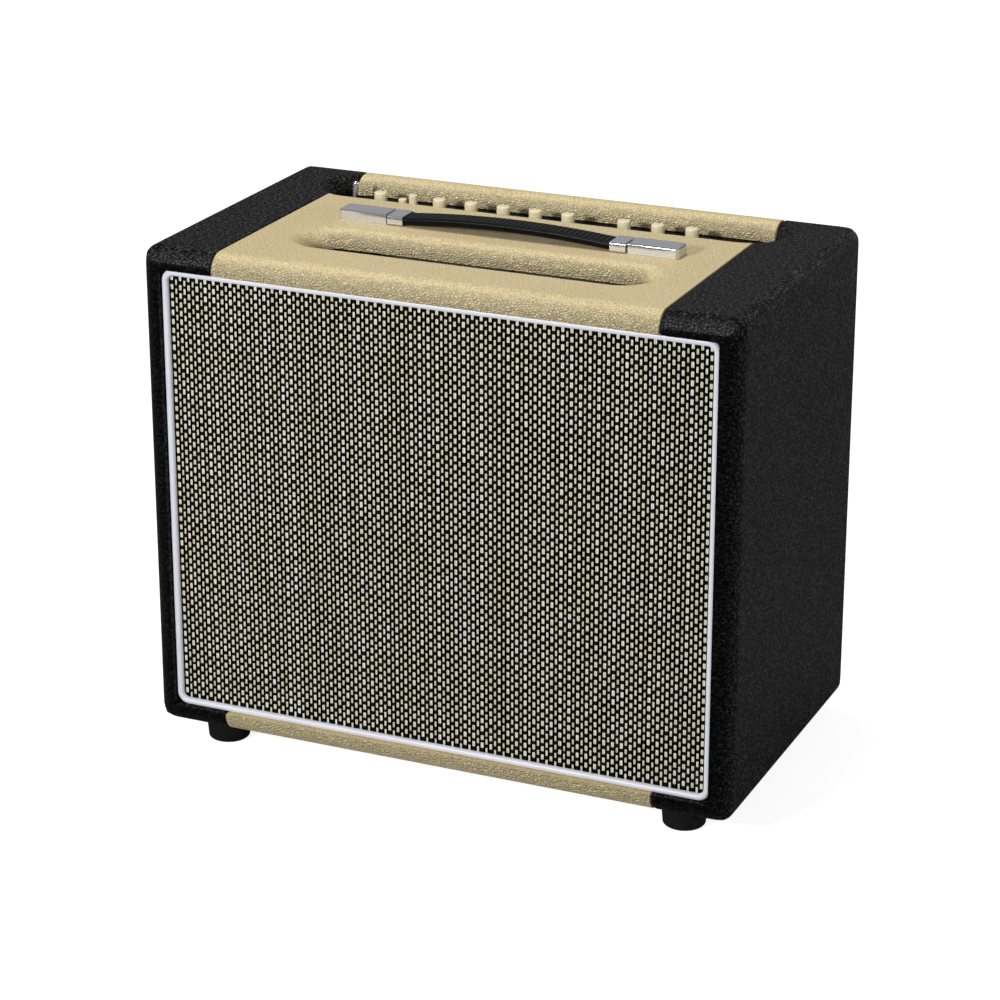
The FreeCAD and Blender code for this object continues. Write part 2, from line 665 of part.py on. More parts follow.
def basket():
    """Pressed steel frame of the speaker, with windows between its spokes."""
    t = BASKET_SHEET
    ledge = SPIDER_LEDGE
    depth = BASKET_DEPTH
    mouth_r = SPEAKER_R - BASKET_MOUTH_INSET
    shoulder_r = SPEAKER_R - SHOULDER_INSET
    ledge_r = SPEAKER_R - LEDGE_INSET
    hole_r = COIL_R + POLE_HOLE_ROOM
    shell = speaker_turn([
        (SPEAKER_R, 0), (SPEAKER_R, t), (mouth_r + t, t), (shoulder_r + t, SHOULDER_DEPTH),
        (ledge_r + t, ledge + t), (SEAT_R + t, ledge + t), (SEAT_R + t, depth + t), (hole_r, depth + t),
        (hole_r, depth), (SEAT_R, depth), (SEAT_R, ledge), (ledge_r, ledge), (shoulder_r, SHOULDER_DEPTH),
        (mouth_r, 0),
    ])
    half = WINDOW_SHARE * SPEAKER_R / 2
    for k in range(WINDOW_COUNT):
        tool = box(-half, half, BASKET_Y + WINDOW_START, BASKET_Y + ledge - WINDOW_END,
                   SPEAKER_Z + SPEAKER_R - WINDOW_INNER_INSET, SPEAKER_Z + SPEAKER_R)
        upright = [e for e in tool.Edges if e.BoundBox.ZLength > 1]
        tool = tool.makeFillet(WINDOW_CORNER_R, upright)
        tool.rotate(Vec(0, 0, SPEAKER_Z), Vec(0, 1, 0), 360.0 / WINDOW_COUNT * (k + 0.5))
        shell = shell.cut(tool)
    return shell


def ripple(r0, r1, depth, swing, waves, thick):
    """A corrugated ring: flat at both rims, waved between them."""
    steps = waves * 4
    upper = []
    for k in range(steps + 1):
        share = k / steps
        wave = swing * math.sin(2 * math.pi * waves * share)
        upper.append((r0 + (r1 - r0) * share, depth + wave))
    lower = [(r, d + thick) for r, d in reversed(upper)]
    return speaker_turn(upper + lower)


def cone_curve(r):
    """Depth of the cone's front face at a radius: steep at the neck, flatter at the rim."""
    share = (r - COIL_R) / (CONE_R - COIL_R)
    return CONE_DEPTH * (1 - share) ** 1.25


def cone_shell(r0, r1, steps):
    radii = [r0 + (r1 - r0) * k / steps for k in range(steps + 1)]
    front = [(r, cone_curve(r)) for r in radii]
    rear = [(r, cone_curve(r) + CONE_WALL) for r in reversed(radii)]
    return speaker_turn(front + rear)


def speaker():
    """Twelve inch loudspeaker, screwed to the back of the baffle."""
    nodes = {}
    gasket_r = SPEAKER_R - GASKET_INSET
    gasket = speaker_turn([(gasket_r, 0), (gasket_r, -GASKET), (SPEAKER_R, -GASKET), (SPEAKER_R, 0)])
    nodes["speaker_basket"] = basket()
    nodes["speaker_cone"] = cone_shell(COIL_R, CONE_R, 7)
    roll = ripple(CONE_R + CONE_GAP, ROLL_R + 0.1, 0.0, ROLL_SWING, 2, CONE_WALL)
    lip_r = SPEAKER_R - LIP_INSET
    lip = speaker_turn([(ROLL_R, -CONE_WALL), (lip_r, -CONE_WALL), (lip_r, 0), (ROLL_R + 2 * CONE_WALL, 0),
                        (ROLL_R + 0.75 * CONE_WALL, CONE_WALL), (ROLL_R, CONE_WALL)])
    nodes["speaker_surround"] = roll.fuse(lip)
    cap_depth = cone_curve(DUST_CAP_R)
    dome = [(DUST_CAP_R * k / 5, cap_depth - DUST_CAP_RISE * (1 - (k / 5) ** 2)) for k in range(6)]
    inner = [(r, d + DUST_CAP_SHEET) for r, d in reversed(dome)]
    nodes["speaker_dust_cap"] = speaker_turn(dome + inner).cut(nodes["speaker_cone"]).cut(
        rod(DUST_CAP_R * 2, 0, BASKET_Y + cap_depth, SPEAKER_Z, DUST_CAP_RISE, (0, 1, 0)))
    coil_back = BASKET_DEPTH + BASKET_SHEET + PLATE_THICK + COIL_FRONT
    coil_front = CONE_DEPTH - COIL_FRONT
    coil_in = COIL_R - COIL_WALL
    coil_out = COIL_R + WINDING
    nodes["speaker_voice_coil"] = speaker_turn([
        (coil_in, coil_front), (COIL_R, coil_front), (COIL_R, BASKET_DEPTH),
        (coil_out, BASKET_DEPTH), (coil_out, coil_back), (coil_in, coil_back),
    ])
    nodes["speaker_spider"] = ripple(COIL_R + CONE_GAP, SPIDER_R, SPIDER_LEDGE - SPIDER_SHEET,
                                     SPIDER_SWING, 4, SPIDER_SHEET)
    gap_r = coil_out + COIL_GAP
    plate_back = BASKET_DEPTH + BASKET_SHEET + PLATE_THICK
    top_plate = speaker_turn([
        (gap_r, plate_back - PLATE_THICK), (PLATE_R, plate_back - PLATE_THICK), (PLATE_R, plate_back),
        (gap_r, plate_back)])
    back = plate_back + MAGNET_THICK
    magnet_hole = COIL_R + MAGNET_HOLE_ROOM
    c = MAGNET_CHAMFER
    nodes["speaker_magnet"] = speaker_turn([
        (magnet_hole, plate_back), (MAGNET_R - c, plate_back), (MAGNET_R, plate_back + c),
        (MAGNET_R, back - c), (MAGNET_R - c, back), (magnet_hole, back)])
    pole = coil_in - COIL_GAP
    c = PLATE_CHAMFER
    yoke = speaker_turn([
        (0, plate_back - PLATE_THICK), (pole, plate_back - PLATE_THICK), (pole, back),
        (PLATE_R - c, back), (PLATE_R, back + c), (PLATE_R, back + PLATE_THICK - c),
        (PLATE_R - c, back + PLATE_THICK), (0, back + PLATE_THICK)])
    nodes["speaker_pole_plates"] = one([top_plate, yoke])
    bolts = []
    for k in range(BOLT_COUNT):
        angle = 2 * math.pi * (k + 0.5) / BOLT_COUNT
        circle_r = SPEAKER_R - BOLT_INSET
        x = circle_r * math.cos(angle)
        z = SPEAKER_Z + circle_r * math.sin(angle)
        stem = rod(BOLT_R, x, BAFFLE_FRONT, z, BAFFLE + GASKET + BASKET_SHEET + BOLT_REACH, (0, 1, 0))
        nut = hexagon(BOLT_NUT_R, x, BASKET_Y + BASKET_SHEET, z, BOLT_NUT, (0, 1, 0))
        bolts.append(stem.fuse(nut))
    nodes["speaker_bolts"] = one(bolts)
    nodes["speaker_gasket"] = gasket
    for name in ("speaker_gasket", "speaker_basket"):
        nodes[name] = nodes[name].cut(nodes["speaker_bolts"])
    return nodes


def knob(x):
    """A push-on knob with a pointer notch at its rear edge, and the shaft that it sits on."""
    body = rod(KNOB_R, x, CONTROL_Y, KNOB_LOW, KNOB_TOP - KNOB_LOW)
    rim = [e for e in body.Edges if e.BoundBox.ZMin > KNOB_TOP - 0.01 and e.BoundBox.XLength > 1]
    body = body.makeChamfer(KNOB_CHAMFER, rim)
    notch = box(x - KNOB_NOTCH_WIDTH / 2, x + KNOB_NOTCH_WIDTH / 2, CONTROL_Y + KNOB_R - KNOB_NOTCH,
                CONTROL_Y + KNOB_R + 1, KNOB_TOP - KNOB_NOTCH_DEPTH, KNOB_TOP + 1)
    shaft_low = CHASSIS_TOP - POT_BODY + POT_BORE
    shaft = rod(SHAFT_R, x, CONTROL_Y, shaft_low, KNOB_LOW + KNOB_BORE - shaft_low)
    return one([body.cut(notch).cut(shaft), shaft])


def potentiometer(x):
    top = CHASSIS_TOP - CHASSIS_SHEET
    half = POT_SIDE / 2
    can = box(x - half, x + half, CONTROL_Y - half, CONTROL_Y + half, top - POT_BODY, top)
    bushing = rod(BUSHING_R, x, CONTROL_Y, top - 1, PLATE_TOP + BUSHING_RISE - top + 1)
    bore = rod(SHAFT_R + SHAFT_FIT, x, CONTROL_Y, CHASSIS_TOP - POT_BODY + POT_BORE - 0.3, CHASSIS_HEIGHT)
    return can.fuse(bushing).cut(bore)


def button(x, top):
    """A push button and its plunger, in one moulding."""
    body = rod(BUTTON_R, x, CONTROL_Y, top - BUTTON_LENGTH, BUTTON_LENGTH)
    rim = [e for e in body.Edges if e.BoundBox.ZMin > top - 0.01 and e.BoundBox.XLength > 1]
    return body.makeFillet(0.7, rim)


def push_switch(x):
    top = CHASSIS_TOP - CHASSIS_SHEET
    half = SWITCH_SIDE / 2
    can = box(x - half, x + half, CONTROL_Y - half, CONTROL_Y + half, top - SWITCH_BODY, top)
    return can.cut(rod(BUTTON_R + BUTTON_CLEARANCE, x, CONTROL_Y, top - SWITCH_BODY / 2, SWITCH_BODY))


def turned(profile, x, y):
    """Turns (radius, z) pairs about an upright axis."""
    points = [Vec(x + r, y, z) for r, z in profile]
    return revolve(points, Vec(x, y, 0), Vec(0, 0, 1))


def toggle():
    """Bat-handle toggle: threaded bushing on a switch can, and the lever on its ball."""
    top = CHASSIS_TOP - CHASSIS_SHEET
    pivot = PLATE_TOP + TOGGLE_PIVOT
    rise = PLATE_TOP + TOGGLE_BUSHING_RISE
    ball = TOGGLE_BALL_R + TOGGLE_CLEARANCE
    can = box(TOGGLE_X - TOGGLE_CAN_X, TOGGLE_X + TOGGLE_CAN_X, CONTROL_Y - TOGGLE_CAN_Y,
              CONTROL_Y + TOGGLE_CAN_Y, top - TOGGLE_CAN, top)
    body = can.fuse(rod(TOGGLE_BUSHING_R, TOGGLE_X, CONTROL_Y, top - 1, rise - top + 1))
    body = body.fuse(hexagon(TOGGLE_NUT_R, TOGGLE_X, CONTROL_Y, PLATE_TOP, TOGGLE_NUT))
    body = body.cut(turned([(0, pivot - 8), (ball, pivot - 8), (ball, pivot + 1), (ball + 1.0, rise + 1),
                            (0, rise + 1)], TOGGLE_X, CONTROL_Y))
    tip = TOP + TOGGLE_ABOVE
    length = tip - pivot
    r = TOGGLE_BALL_R
    profile = [(0, pivot - r), (r * 0.7, pivot - r * 0.7), (r, pivot), (r * 0.7, pivot + r * 0.7),
               (TOGGLE_NECK_R, pivot + r * 0.9), (TOGGLE_TIP_R, pivot + length - 4),
               (TOGGLE_TIP_R, pivot + length - 1.6), (TOGGLE_TIP_R * 0.6, pivot + length - 0.3),
               (0, pivot + length)]
    lever = turned(profile, TOGGLE_X, CONTROL_Y)
    lever.rotate(Vec(TOGGLE_X, CONTROL_Y, pivot), Vec(1, 0, 0), -TOGGLE_LEAN)
    return body, lever


def jack(x, y, z, axis, panel):
    """A 6.35 mm jack: barrel and nut outside a panel of the thickness given, and the body behind it."""
    out = Vec(*axis)
    half = JACK_BODY / 2
    body = Part.makeBox(JACK_BODY, JACK_BODY, JACK_DEPTH, Vec(-half, -half, -JACK_DEPTH - panel))
    body = body.fuse(Part.makeCylinder(JACK_BARREL_R, 2 * JACK_RISE, Vec(0, 0, -JACK_RISE)))
    body = body.fuse(hexagon(JACK_NUT_R, 0, 0, 0, JACK_NUT))
    body = body.cut(Part.makeCylinder(JACK_BORE_R, JACK_DEPTH, Vec(0, 0, JACK_RISE - JACK_DEPTH)))
    body.Placement = FreeCAD.Placement(Vec(x, y, z), FreeCAD.Rotation(Vec(0, 0, 1), out))
    return body


def mains():
    """Mains inlet and rocker switch, moulded in one frame, and the rocker itself."""
    y = CHASSIS_REAR_Y
    z = CHASSIS_Z
    plate = box(INLET_X - INLET_HALF_X - INLET_RIM, ROCKER_X + SWITCH_HALF_X + ROCKER_RIM, y, y + MAINS_PLATE,
                z - MAINS_PLATE_HALF, z + MAINS_PLATE_HALF)
    corners = [e for e in plate.Edges if e.BoundBox.YLength > 1]
    plate = plate.makeFillet(MAINS_CORNER_R, corners)
    inlet = box(INLET_X - INLET_HALF_X, INLET_X + INLET_HALF_X, y - INLET_DEPTH, y + 1,
                z - INLET_HALF_Z, z + INLET_HALF_Z)
    switch = box(ROCKER_X - SWITCH_HALF_X, ROCKER_X + SWITCH_HALF_X, y - SWITCH_DEPTH, y + 1,
                 z - SWITCH_HALF_Z, z + SWITCH_HALF_Z)
    frame = plate.fuse(inlet).fuse(switch)
    cavity = box(INLET_X - CAVITY_HALF_X, INLET_X + CAVITY_HALF_X, y - CAVITY_DEPTH, y + 2 * MAINS_PLATE,
                 z - CAVITY_HALF_Z, z + CAVITY_HALF_Z)
    low_edges = [e for e in cavity.Edges if e.BoundBox.YLength > 1 and e.BoundBox.ZMax < z]
    frame = frame.cut(cavity.makeChamfer(CAVITY_HALF_Z / 2, low_edges))
    for dx, dz in ((-PIN_SPREAD, -PIN_DROP), (0, PIN_RISE), (PIN_SPREAD, -PIN_DROP)):
        pin = box(INLET_X + dx - PIN_HALF_X, INLET_X + dx + PIN_HALF_X, y - CAVITY_DEPTH - 1, y - 1,
                  z + dz - PIN_HALF_Z, z + dz + PIN_HALF_Z)
        frame = frame.fuse(pin)
    well_x = SWITCH_HALF_X - WELL_SIDE
    well_z = SWITCH_HALF_Z - WELL_RIM
    frame = frame.cut(box(ROCKER_X - well_x, ROCKER_X + well_x, y - WELL_DEPTH, y + 2 * MAINS_PLATE,
                          z - well_z, z + well_z))
    hub = Vec(ROCKER_X, y - ROCKER_HUB, z)
    r = ROCKER_REACH
    outline = [(-r, ROCKER_THICK), (-r, ROCKER_LIP), (0, ROCKER_DIP), (r, ROCKER_LIP), (r, ROCKER_THICK),
               (ROCKER_HUB, -ROCKER_HUB), (-ROCKER_HUB, -ROCKER_HUB)]
    half = well_x - ROCKER_SIDE_GAP
    points = [Vec(ROCKER_X - half, hub.y + depth, z + rise) for rise, depth in outline]
    rocker = Part.Face(Part.makePolygon(points + [points[0]])).extrude(Vec(2 * half, 0, 0))
    rocker.rotate(hub, Vec(1, 0, 0), ROCKER_THROW / 2)
    return frame, rocker


def chassis_openings():
    """Everything that passes through the chassis top, rear wall and control plate."""
    holes = [(BUSHING_R + HOLE_FIT, x) for x in KNOB_X]
    holes += [(BUTTON_R + BUTTON_CLEARANCE, x) for x in (BUTTON_IN_X, BUTTON_OUT_X)]
    holes += [(TOGGLE_BUSHING_R + HOLE_FIT, TOGGLE_X), (JACK_BARREL_R + HOLE_FIT, JACK_X)]
    return [rod(radius, x, CONTROL_Y, CHASSIS_LOW, 2 * CHASSIS_HEIGHT) for radius, x in holes]


def chassis():
    """Steel box welded from five sheets, its flanged base, and the plate in the control opening."""
    half = CHASSIS_WIDTH / 2
    t = CHASSIS_SHEET
    z = CHASSIS_Z
    top_low = CHASSIS_TOP - t
    front_in = CHASSIS_FRONT_Y + t
    rear_in = CHASSIS_REAR_Y - t
    top = box(-half, half, CHASSIS_FRONT_Y, CHASSIS_REAR_Y, top_low, CHASSIS_TOP)
    front = box(-half, half, CHASSIS_FRONT_Y, front_in, CHASSIS_LOW, top_low)
    rear = box(-half, half, rear_in, CHASSIS_REAR_Y, CHASSIS_LOW, top_low)
    ends = [box(-half, -half + t, front_in, rear_in, CHASSIS_LOW, top_low),
            box(half - t, half, front_in, rear_in, CHASSIS_LOW, top_low)]
    plate_x = half - PANEL_PLATE
    plate = box(-plate_x, plate_x, OPENING_Y - PANEL_PLATE_DEPTH / 2, OPENING_Y + PANEL_PLATE_DEPTH / 2,
                CHASSIS_TOP, PLATE_TOP)
    for tool in chassis_openings():
        top = top.cut(tool)
        plate = plate.cut(tool)
    for x in REAR_JACK_X:
        rear = rear.cut(rod(JACK_BARREL_R + HOLE_FIT, x, CHASSIS_REAR_Y - 10, z, 20, (0, 1, 0)))
    cutouts = ((INLET_X, INLET_HALF_X, INLET_HALF_Z), (ROCKER_X, SWITCH_HALF_X, SWITCH_HALF_Z))
    for x, half_x, half_z in cutouts:
        room_x = half_x + MAINS_FIT
        room_z = half_z + MAINS_FIT
        rear = rear.cut(box(x - room_x, x + room_x, CHASSIS_REAR_Y - 5, CHASSIS_REAR_Y + 5,
                            z - room_z, z + room_z))
    shell = one([top, front, rear] + ends)
    wing = half + FLANGE
    base = box(-wing, wing, CHASSIS_FRONT_Y, CHASSIS_REAR_Y, BASE_LOW, CHASSIS_LOW)
    for x in TUBE_X:
        base = base.cut(rod(SOCKET_R - SOCKET_STEP, x, TUBE_Y, BASE_LOW - 1, 4))
    return {"chassis": shell, "chassis_base": base, "control_panel": plate}


def transformer(x, size):
    """Laminated core with a rounded bell over each side of the winding."""
    width, depth, height = size
    y = TUBE_Y
    core = box(x - width / 2, x + width / 2, y - LAMINATION / 2, y + LAMINATION / 2,
               BASE_LOW - height, BASE_LOW)
    bell_x = width / 2 - BELL_INSET
    bell = box(x - bell_x, x + bell_x, y - depth / 2, y + depth / 2,
               BASE_LOW - height + BELL_INSET, BASE_LOW - BELL_GAP)
    upright = [e for e in bell.Edges if e.BoundBox.YLength < 1 and e.BoundBox.XLength < 1]
    bell = bell.makeFillet(BELL_R, upright)
    return core.fuse(bell)


def tube(x, length):
    """Glass envelope hanging from its socket, with its drawn-off tip."""
    top = BASE_LOW - SOCKET + TUBE_SEAT
    low = top - length
    r = TUBE_R
    return turned([(0, top), (0.9 * r, top), (r, top - 0.14 * r), (r, low + 0.82 * r),
                   (0.8 * r, low + 0.42 * r), (0.41 * r, low + 0.2 * r), (0.18 * r, low + 0.13 * r),
                   (0, low)], x, TUBE_Y)


def socket(x):
    ring = rod(SOCKET_R, x, TUBE_Y, BASE_LOW - SOCKET, SOCKET)
    core = rod(SOCKET_R - SOCKET_STEP - 0.5, x, TUBE_Y, BASE_LOW - 1, SOCKET_CORE + 1)
    return ring.fuse(core)


def electronics():
    nodes = chassis()
    for k, x in enumerate(KNOB_X):
        nodes["knob_%d" % (k + 1)] = knob(x)
    nodes["button_in"] = button(BUTTON_IN_X, TOP - BUTTON_IN_BELOW)
    nodes["button_out"] = button(BUTTON_OUT_X, TOP - BUTTON_OUT_BELOW)
    toggle_body, lever = toggle()
    nodes["toggle_lever"] = lever
    parts = [potentiometer(x) for x in KNOB_X]
    parts += [push_switch(BUTTON_IN_X), push_switch(BUTTON_OUT_X), toggle_body]
    nodes["panel_components"] = one(parts)
    z = CHASSIS_Z
    jacks = [jack(JACK_X, CONTROL_Y, PLATE_TOP, (0, 0, 1), PANEL_PLATE + CHASSIS_SHEET)]
    jacks += [jack(x, CHASSIS_REAR_Y, z, (0, 1, 0), CHASSIS_SHEET) for x in REAR_JACK_X]
    nodes["jacks"] = one(jacks)
    nodes["mains_inlet"], nodes["mains_rocker"] = mains()
    nodes["transformers"] = one([transformer(POWER_X, POWER_BOX), transformer(OUTPUT_X, OUTPUT_BOX)])
    tubes = [tube(x, length) for x, length in zip(TUBE_X, TUBE_LENGTH)]
    nodes["vacuum_tubes"] = one(tubes)
    nodes["tube_sockets"] = one([socket(x).cut(t) for x, t in zip(TUBE_X, tubes)])
    return nodes


def build():
    nodes = cabinet()
    nodes.update(baffle())
    nodes.update(grille())
    nodes.update(back_panels())
    nodes.update(handle())
    nodes.update(speaker())
    nodes.update(electronics())
    for x, side in ((-FOOT_X, "left"), (FOOT_X, "right")):
        for y, end in ((-FOOT_Y, "front"), (FOOT_Y, "rear")):
            nodes["foot_%s_%s" % (end, side)] = foot(x, y)
    fixing = one(screws())
    for name in list(nodes):
        if name in ("bottom_panel", "cream_covering_bottom", "black_covering_left", "black_covering_right",
                    "battens", "lower_back_panel", "upper_back_panel", "chassis_base",
                    "foot_front_left", "foot_front_right", "foot_rear_left", "foot_rear_right"):
            nodes[name] = nodes[name].cut(fixing)
    nodes["wood_screws"] = fixing
    nodes["baffle_board"] = nodes["baffle_board"].cut(nodes["speaker_bolts"])
    for name in ("top_panel", "cream_covering_top"):
        nodes[name] = nodes[name].cut(nodes["handle_screws"])
    return nodes


os.makedirs("parts", exist_ok=True)
for node_name, node_shape in build().items():
    node_shape.exportStep("parts/%s.step" % node_name)
    print(node_name, len(node_shape.Solids), node_shape.isValid(), round(node_shape.Volume))
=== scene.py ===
import math

import bmesh
import bpy
from mathutils import Matrix, Vector
from mathutils.bvhtree import BVHTree


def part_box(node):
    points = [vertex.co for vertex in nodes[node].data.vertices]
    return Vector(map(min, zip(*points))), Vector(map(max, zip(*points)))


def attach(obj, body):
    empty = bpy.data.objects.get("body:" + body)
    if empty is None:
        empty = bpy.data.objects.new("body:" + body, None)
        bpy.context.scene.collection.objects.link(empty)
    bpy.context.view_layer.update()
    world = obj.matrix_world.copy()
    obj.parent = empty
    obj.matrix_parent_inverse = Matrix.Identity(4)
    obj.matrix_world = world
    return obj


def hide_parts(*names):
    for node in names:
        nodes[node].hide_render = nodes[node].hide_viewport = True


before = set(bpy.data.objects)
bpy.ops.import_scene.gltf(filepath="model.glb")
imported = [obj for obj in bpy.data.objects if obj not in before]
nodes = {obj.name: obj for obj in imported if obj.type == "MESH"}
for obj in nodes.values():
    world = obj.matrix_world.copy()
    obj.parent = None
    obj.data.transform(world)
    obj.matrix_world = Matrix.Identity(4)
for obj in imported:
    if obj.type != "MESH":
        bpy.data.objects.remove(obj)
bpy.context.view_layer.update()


def linear(rgb):
    # turns a screen colour of 0 to 255 into the shader's own scale
    out = []
    for c in rgb:
        c = c / 255.0
        out.append(c / 12.92 if c <= 0.04045 else ((c + 0.055) / 1.055) ** 2.4)
    return tuple(out) + (1.0,)


class Field:
    # a value that changes over a surface; sums on it add Math nodes
    def __init__(self, graph, socket):
        self.graph = graph
        self.socket = socket

    def sum(self, operation, *values):
        return self.graph.node("ShaderNodeMath", {"operation": operation}, dict(enumerate(values)))

    def __add__(self, other): return self.sum("ADD", self, other)
    def __radd__(self, other): return self.sum("ADD", other, self)
    def __sub__(self, other): return self.sum("SUBTRACT", self, other)
    def __rsub__(self, other): return self.sum("SUBTRACT", other, self)
    def __mul__(self, other): return self.sum("MULTIPLY", self, other)
    def __rmul__(self, other): return self.sum("MULTIPLY", other, self)
    def __truediv__(self, other): return self.sum("DIVIDE", self, other)
    def __abs__(self): return self.sum("ABSOLUTE", self)
    def __mod__(self, other): return self.sum("FLOORED_MODULO", self, other)


class Graph:
    # one tree of shader nodes, and short ways to add to it
    def __init__(self, tree):
        self.tree = tree

    def put(self, node, values):
        for key, value in values.items():
            if isinstance(value, Field):
                self.tree.links.new(value.socket, node.inputs[key])
            else:
                node.inputs[key].default_value = value

    def node(self, kind, settings=None, inputs=None, out=0):
        made = self.tree.nodes.new(kind)
        for key, value in (settings or {}).items():
            setattr(made, key, value)
        self.put(made, inputs or {})
        return Field(self, made.outputs[out])

    def show(self, surface, output="Material Output"):
        self.put(self.tree.nodes[output], {"Surface": surface})


class Finish(Graph):
    # one material: a Principled shader, and short ways to add what drives it
    def __init__(self, name, color, roughness=0.5, metallic=0.0, **sockets):
        self.material = bpy.data.materials.new(name)
        self.material.use_nodes = True
        super().__init__(self.material.node_tree)
        self.shader = self.tree.nodes["Principled BSDF"]
        self.base = Field(self, self.shader.outputs[0])
        self.put(self.shader, {"Base Color": linear(color), "Roughness": roughness, "Metallic": metallic})
        self.put(self.shader, sockets)
        self.place = None

    def where(self, scale=None):
        if self.place is None:
            self.place = self.node("ShaderNodeTexCoord", out="Object")
        if scale is None:
            return self.place
        return self.node("ShaderNodeMapping", {}, {"Vector": self.place, "Scale": scale})

    def noise(self, scale, detail=2.0, roughness=0.5, where=None):
        place = where or self.where()
        return self.node("ShaderNodeTexNoise", {},
                         {"Vector": place, "Scale": scale, "Detail": detail, "Roughness": roughness}, out="Fac")

    def cells(self, scale, feature="F1", where=None, out="Distance"):
        place = where or self.where()
        sockets = {"Vector": place, "Scale": scale}
        return self.node("ShaderNodeTexVoronoi", {"feature": feature}, sockets, out=out)

    def fit(self, value, low, high, toLow=0.0, toHigh=1.0):
        return self.node("ShaderNodeMapRange", {"interpolation_type": "SMOOTHSTEP"},
                         {"Value": value, "From Min": low, "From Max": high, "To Min": toLow, "To Max": toHigh})

    def mix(self, factor, a, b):
        a = a if isinstance(a, Field) else linear(a)
        b = b if isinstance(b, Field) else linear(b)
        return self.node("ShaderNodeMix", {"data_type": "RGBA"}, {"Factor": factor, 6: a, 7: b}, out=2)

    def shake(self, scale, amount, where=None):
        # the coordinates, pushed about by a noise
        place = where or self.where()
        noise = {"Vector": place, "Scale": scale, "Detail": 1.0}
        wobble = self.node("ShaderNodeTexNoise", {}, noise, out="Color")
        push = self.node("ShaderNodeVectorMath", {"operation": "SCALE"}, {0: wobble, "Scale": amount})
        return self.node("ShaderNodeVectorMath", {"operation": "ADD"}, {0: place, 1: push})

    def axis(self, name):
        return self.node("ShaderNodeSeparateXYZ", {}, {0: self.where()}, out=name)

    def facing(self, axis):
        # how far the surface faces along an axis, -1 to 1
        normal = self.node("ShaderNodeNewGeometry", out="Normal")
        return self.node("ShaderNodeSeparateXYZ", {}, {0: normal}, out=axis)

    def bend(self, wrapped):
        # 0 on flat faces, 1 on rounded edges, or if wrapped 1 where the surface turns to the front or rear
        if wrapped:
            return self.fit(abs(self.facing("Y")), 0.45, 1.0)
        most = abs(self.facing("X"))
        for name in ("Y", "Z"):
            most = most.sum("MAXIMUM", most, abs(self.facing(name)))
        return self.fit(most, 0.97, 0.75)

    def relief(self, height, distance):
        bump = self.node("ShaderNodeBump", {}, {"Height": height, "Distance": distance}, out="Normal")
        self.put(self.shader, {"Normal": bump})

    def gloss(self, share, specular, roughness):
        # a second shader of the same colour and relief but more shine, mixed in by the share
        sockets = {"Specular IOR Level": specular, "Roughness": roughness}
        for key in ("Base Color", "Normal"):
            sockets[key] = Field(self, self.shader.inputs[key].links[0].from_socket)
        glossy = self.node("ShaderNodeBsdfPrincipled", {}, sockets)
        self.show(self.node("ShaderNodeMixShader", {}, {0: share, 1: self.base, 2: glossy}))

    def setInputs(self, **sockets):
        self.put(self.shader, {key.replace("_", " "): value for key, value in sockets.items()})


finishes = {}


def keep(name, finish):
    finishes[name] = finish.material
    return finish


seam = dict(x=0.194, half=0.0003, creamRoll=0.0012, blackRoll=0.0024, steps=5, skin=0.0006, deepest=0.00115,
            shadeFrom=0.0014, shadeTo=0.0004, shade=0.8)
# vinylLook crease is the share of the painted shade in the pebbles' creases
vinylLook = dict(pebble=570.0, stretch=0.6, wander=260.0, wanderReach=0.0022, folds=700.0, crease=0.32,
                 gloss=0.5, glossRoughness=0.3)
blackLook = dict(base=(5, 5, 5), dark=(1, 1, 1), crease=(1, 1, 1), roughness=0.4, depth=0.0036,
                 speckle=0.8, specular=0.045, lift=0.0)
# crease is the colour of the painted shade; lift is painted light on turned edges, rim the painted highlight on
# pebble tops
# frontSpeckle keeps the speckle weaker on front faces as painted shade
# in vinylKinds, light is the pale colour of the grain speckle (on black vinyl also painted sheen) and of the
# painted light and highlights
vinylKinds = {
    "creamVinyl": dict(base=(220, 200, 153), dark=(178, 157, 110), light=(255, 238, 192), crease=(112, 92, 54),
                       roughness=0.46, depth=0.0029, fine=820.0, speckle=0.8, specular=0.35, wrapped=True,
                       frontSpeckle=1.0, rim=0.25, lift=0.55, glossy=False),
    "blackVinyl": dict(blackLook, light=(96, 96, 95), fine=460.0, wrapped=True, frontSpeckle=0.25, rim=0.9,
                       glossy=True),
    "boardVinyl": dict(blackLook, light=(70, 70, 71), fine=500.0, wrapped=False, frontSpeckle=1.0, rim=0.0,
                       glossy=False),
}


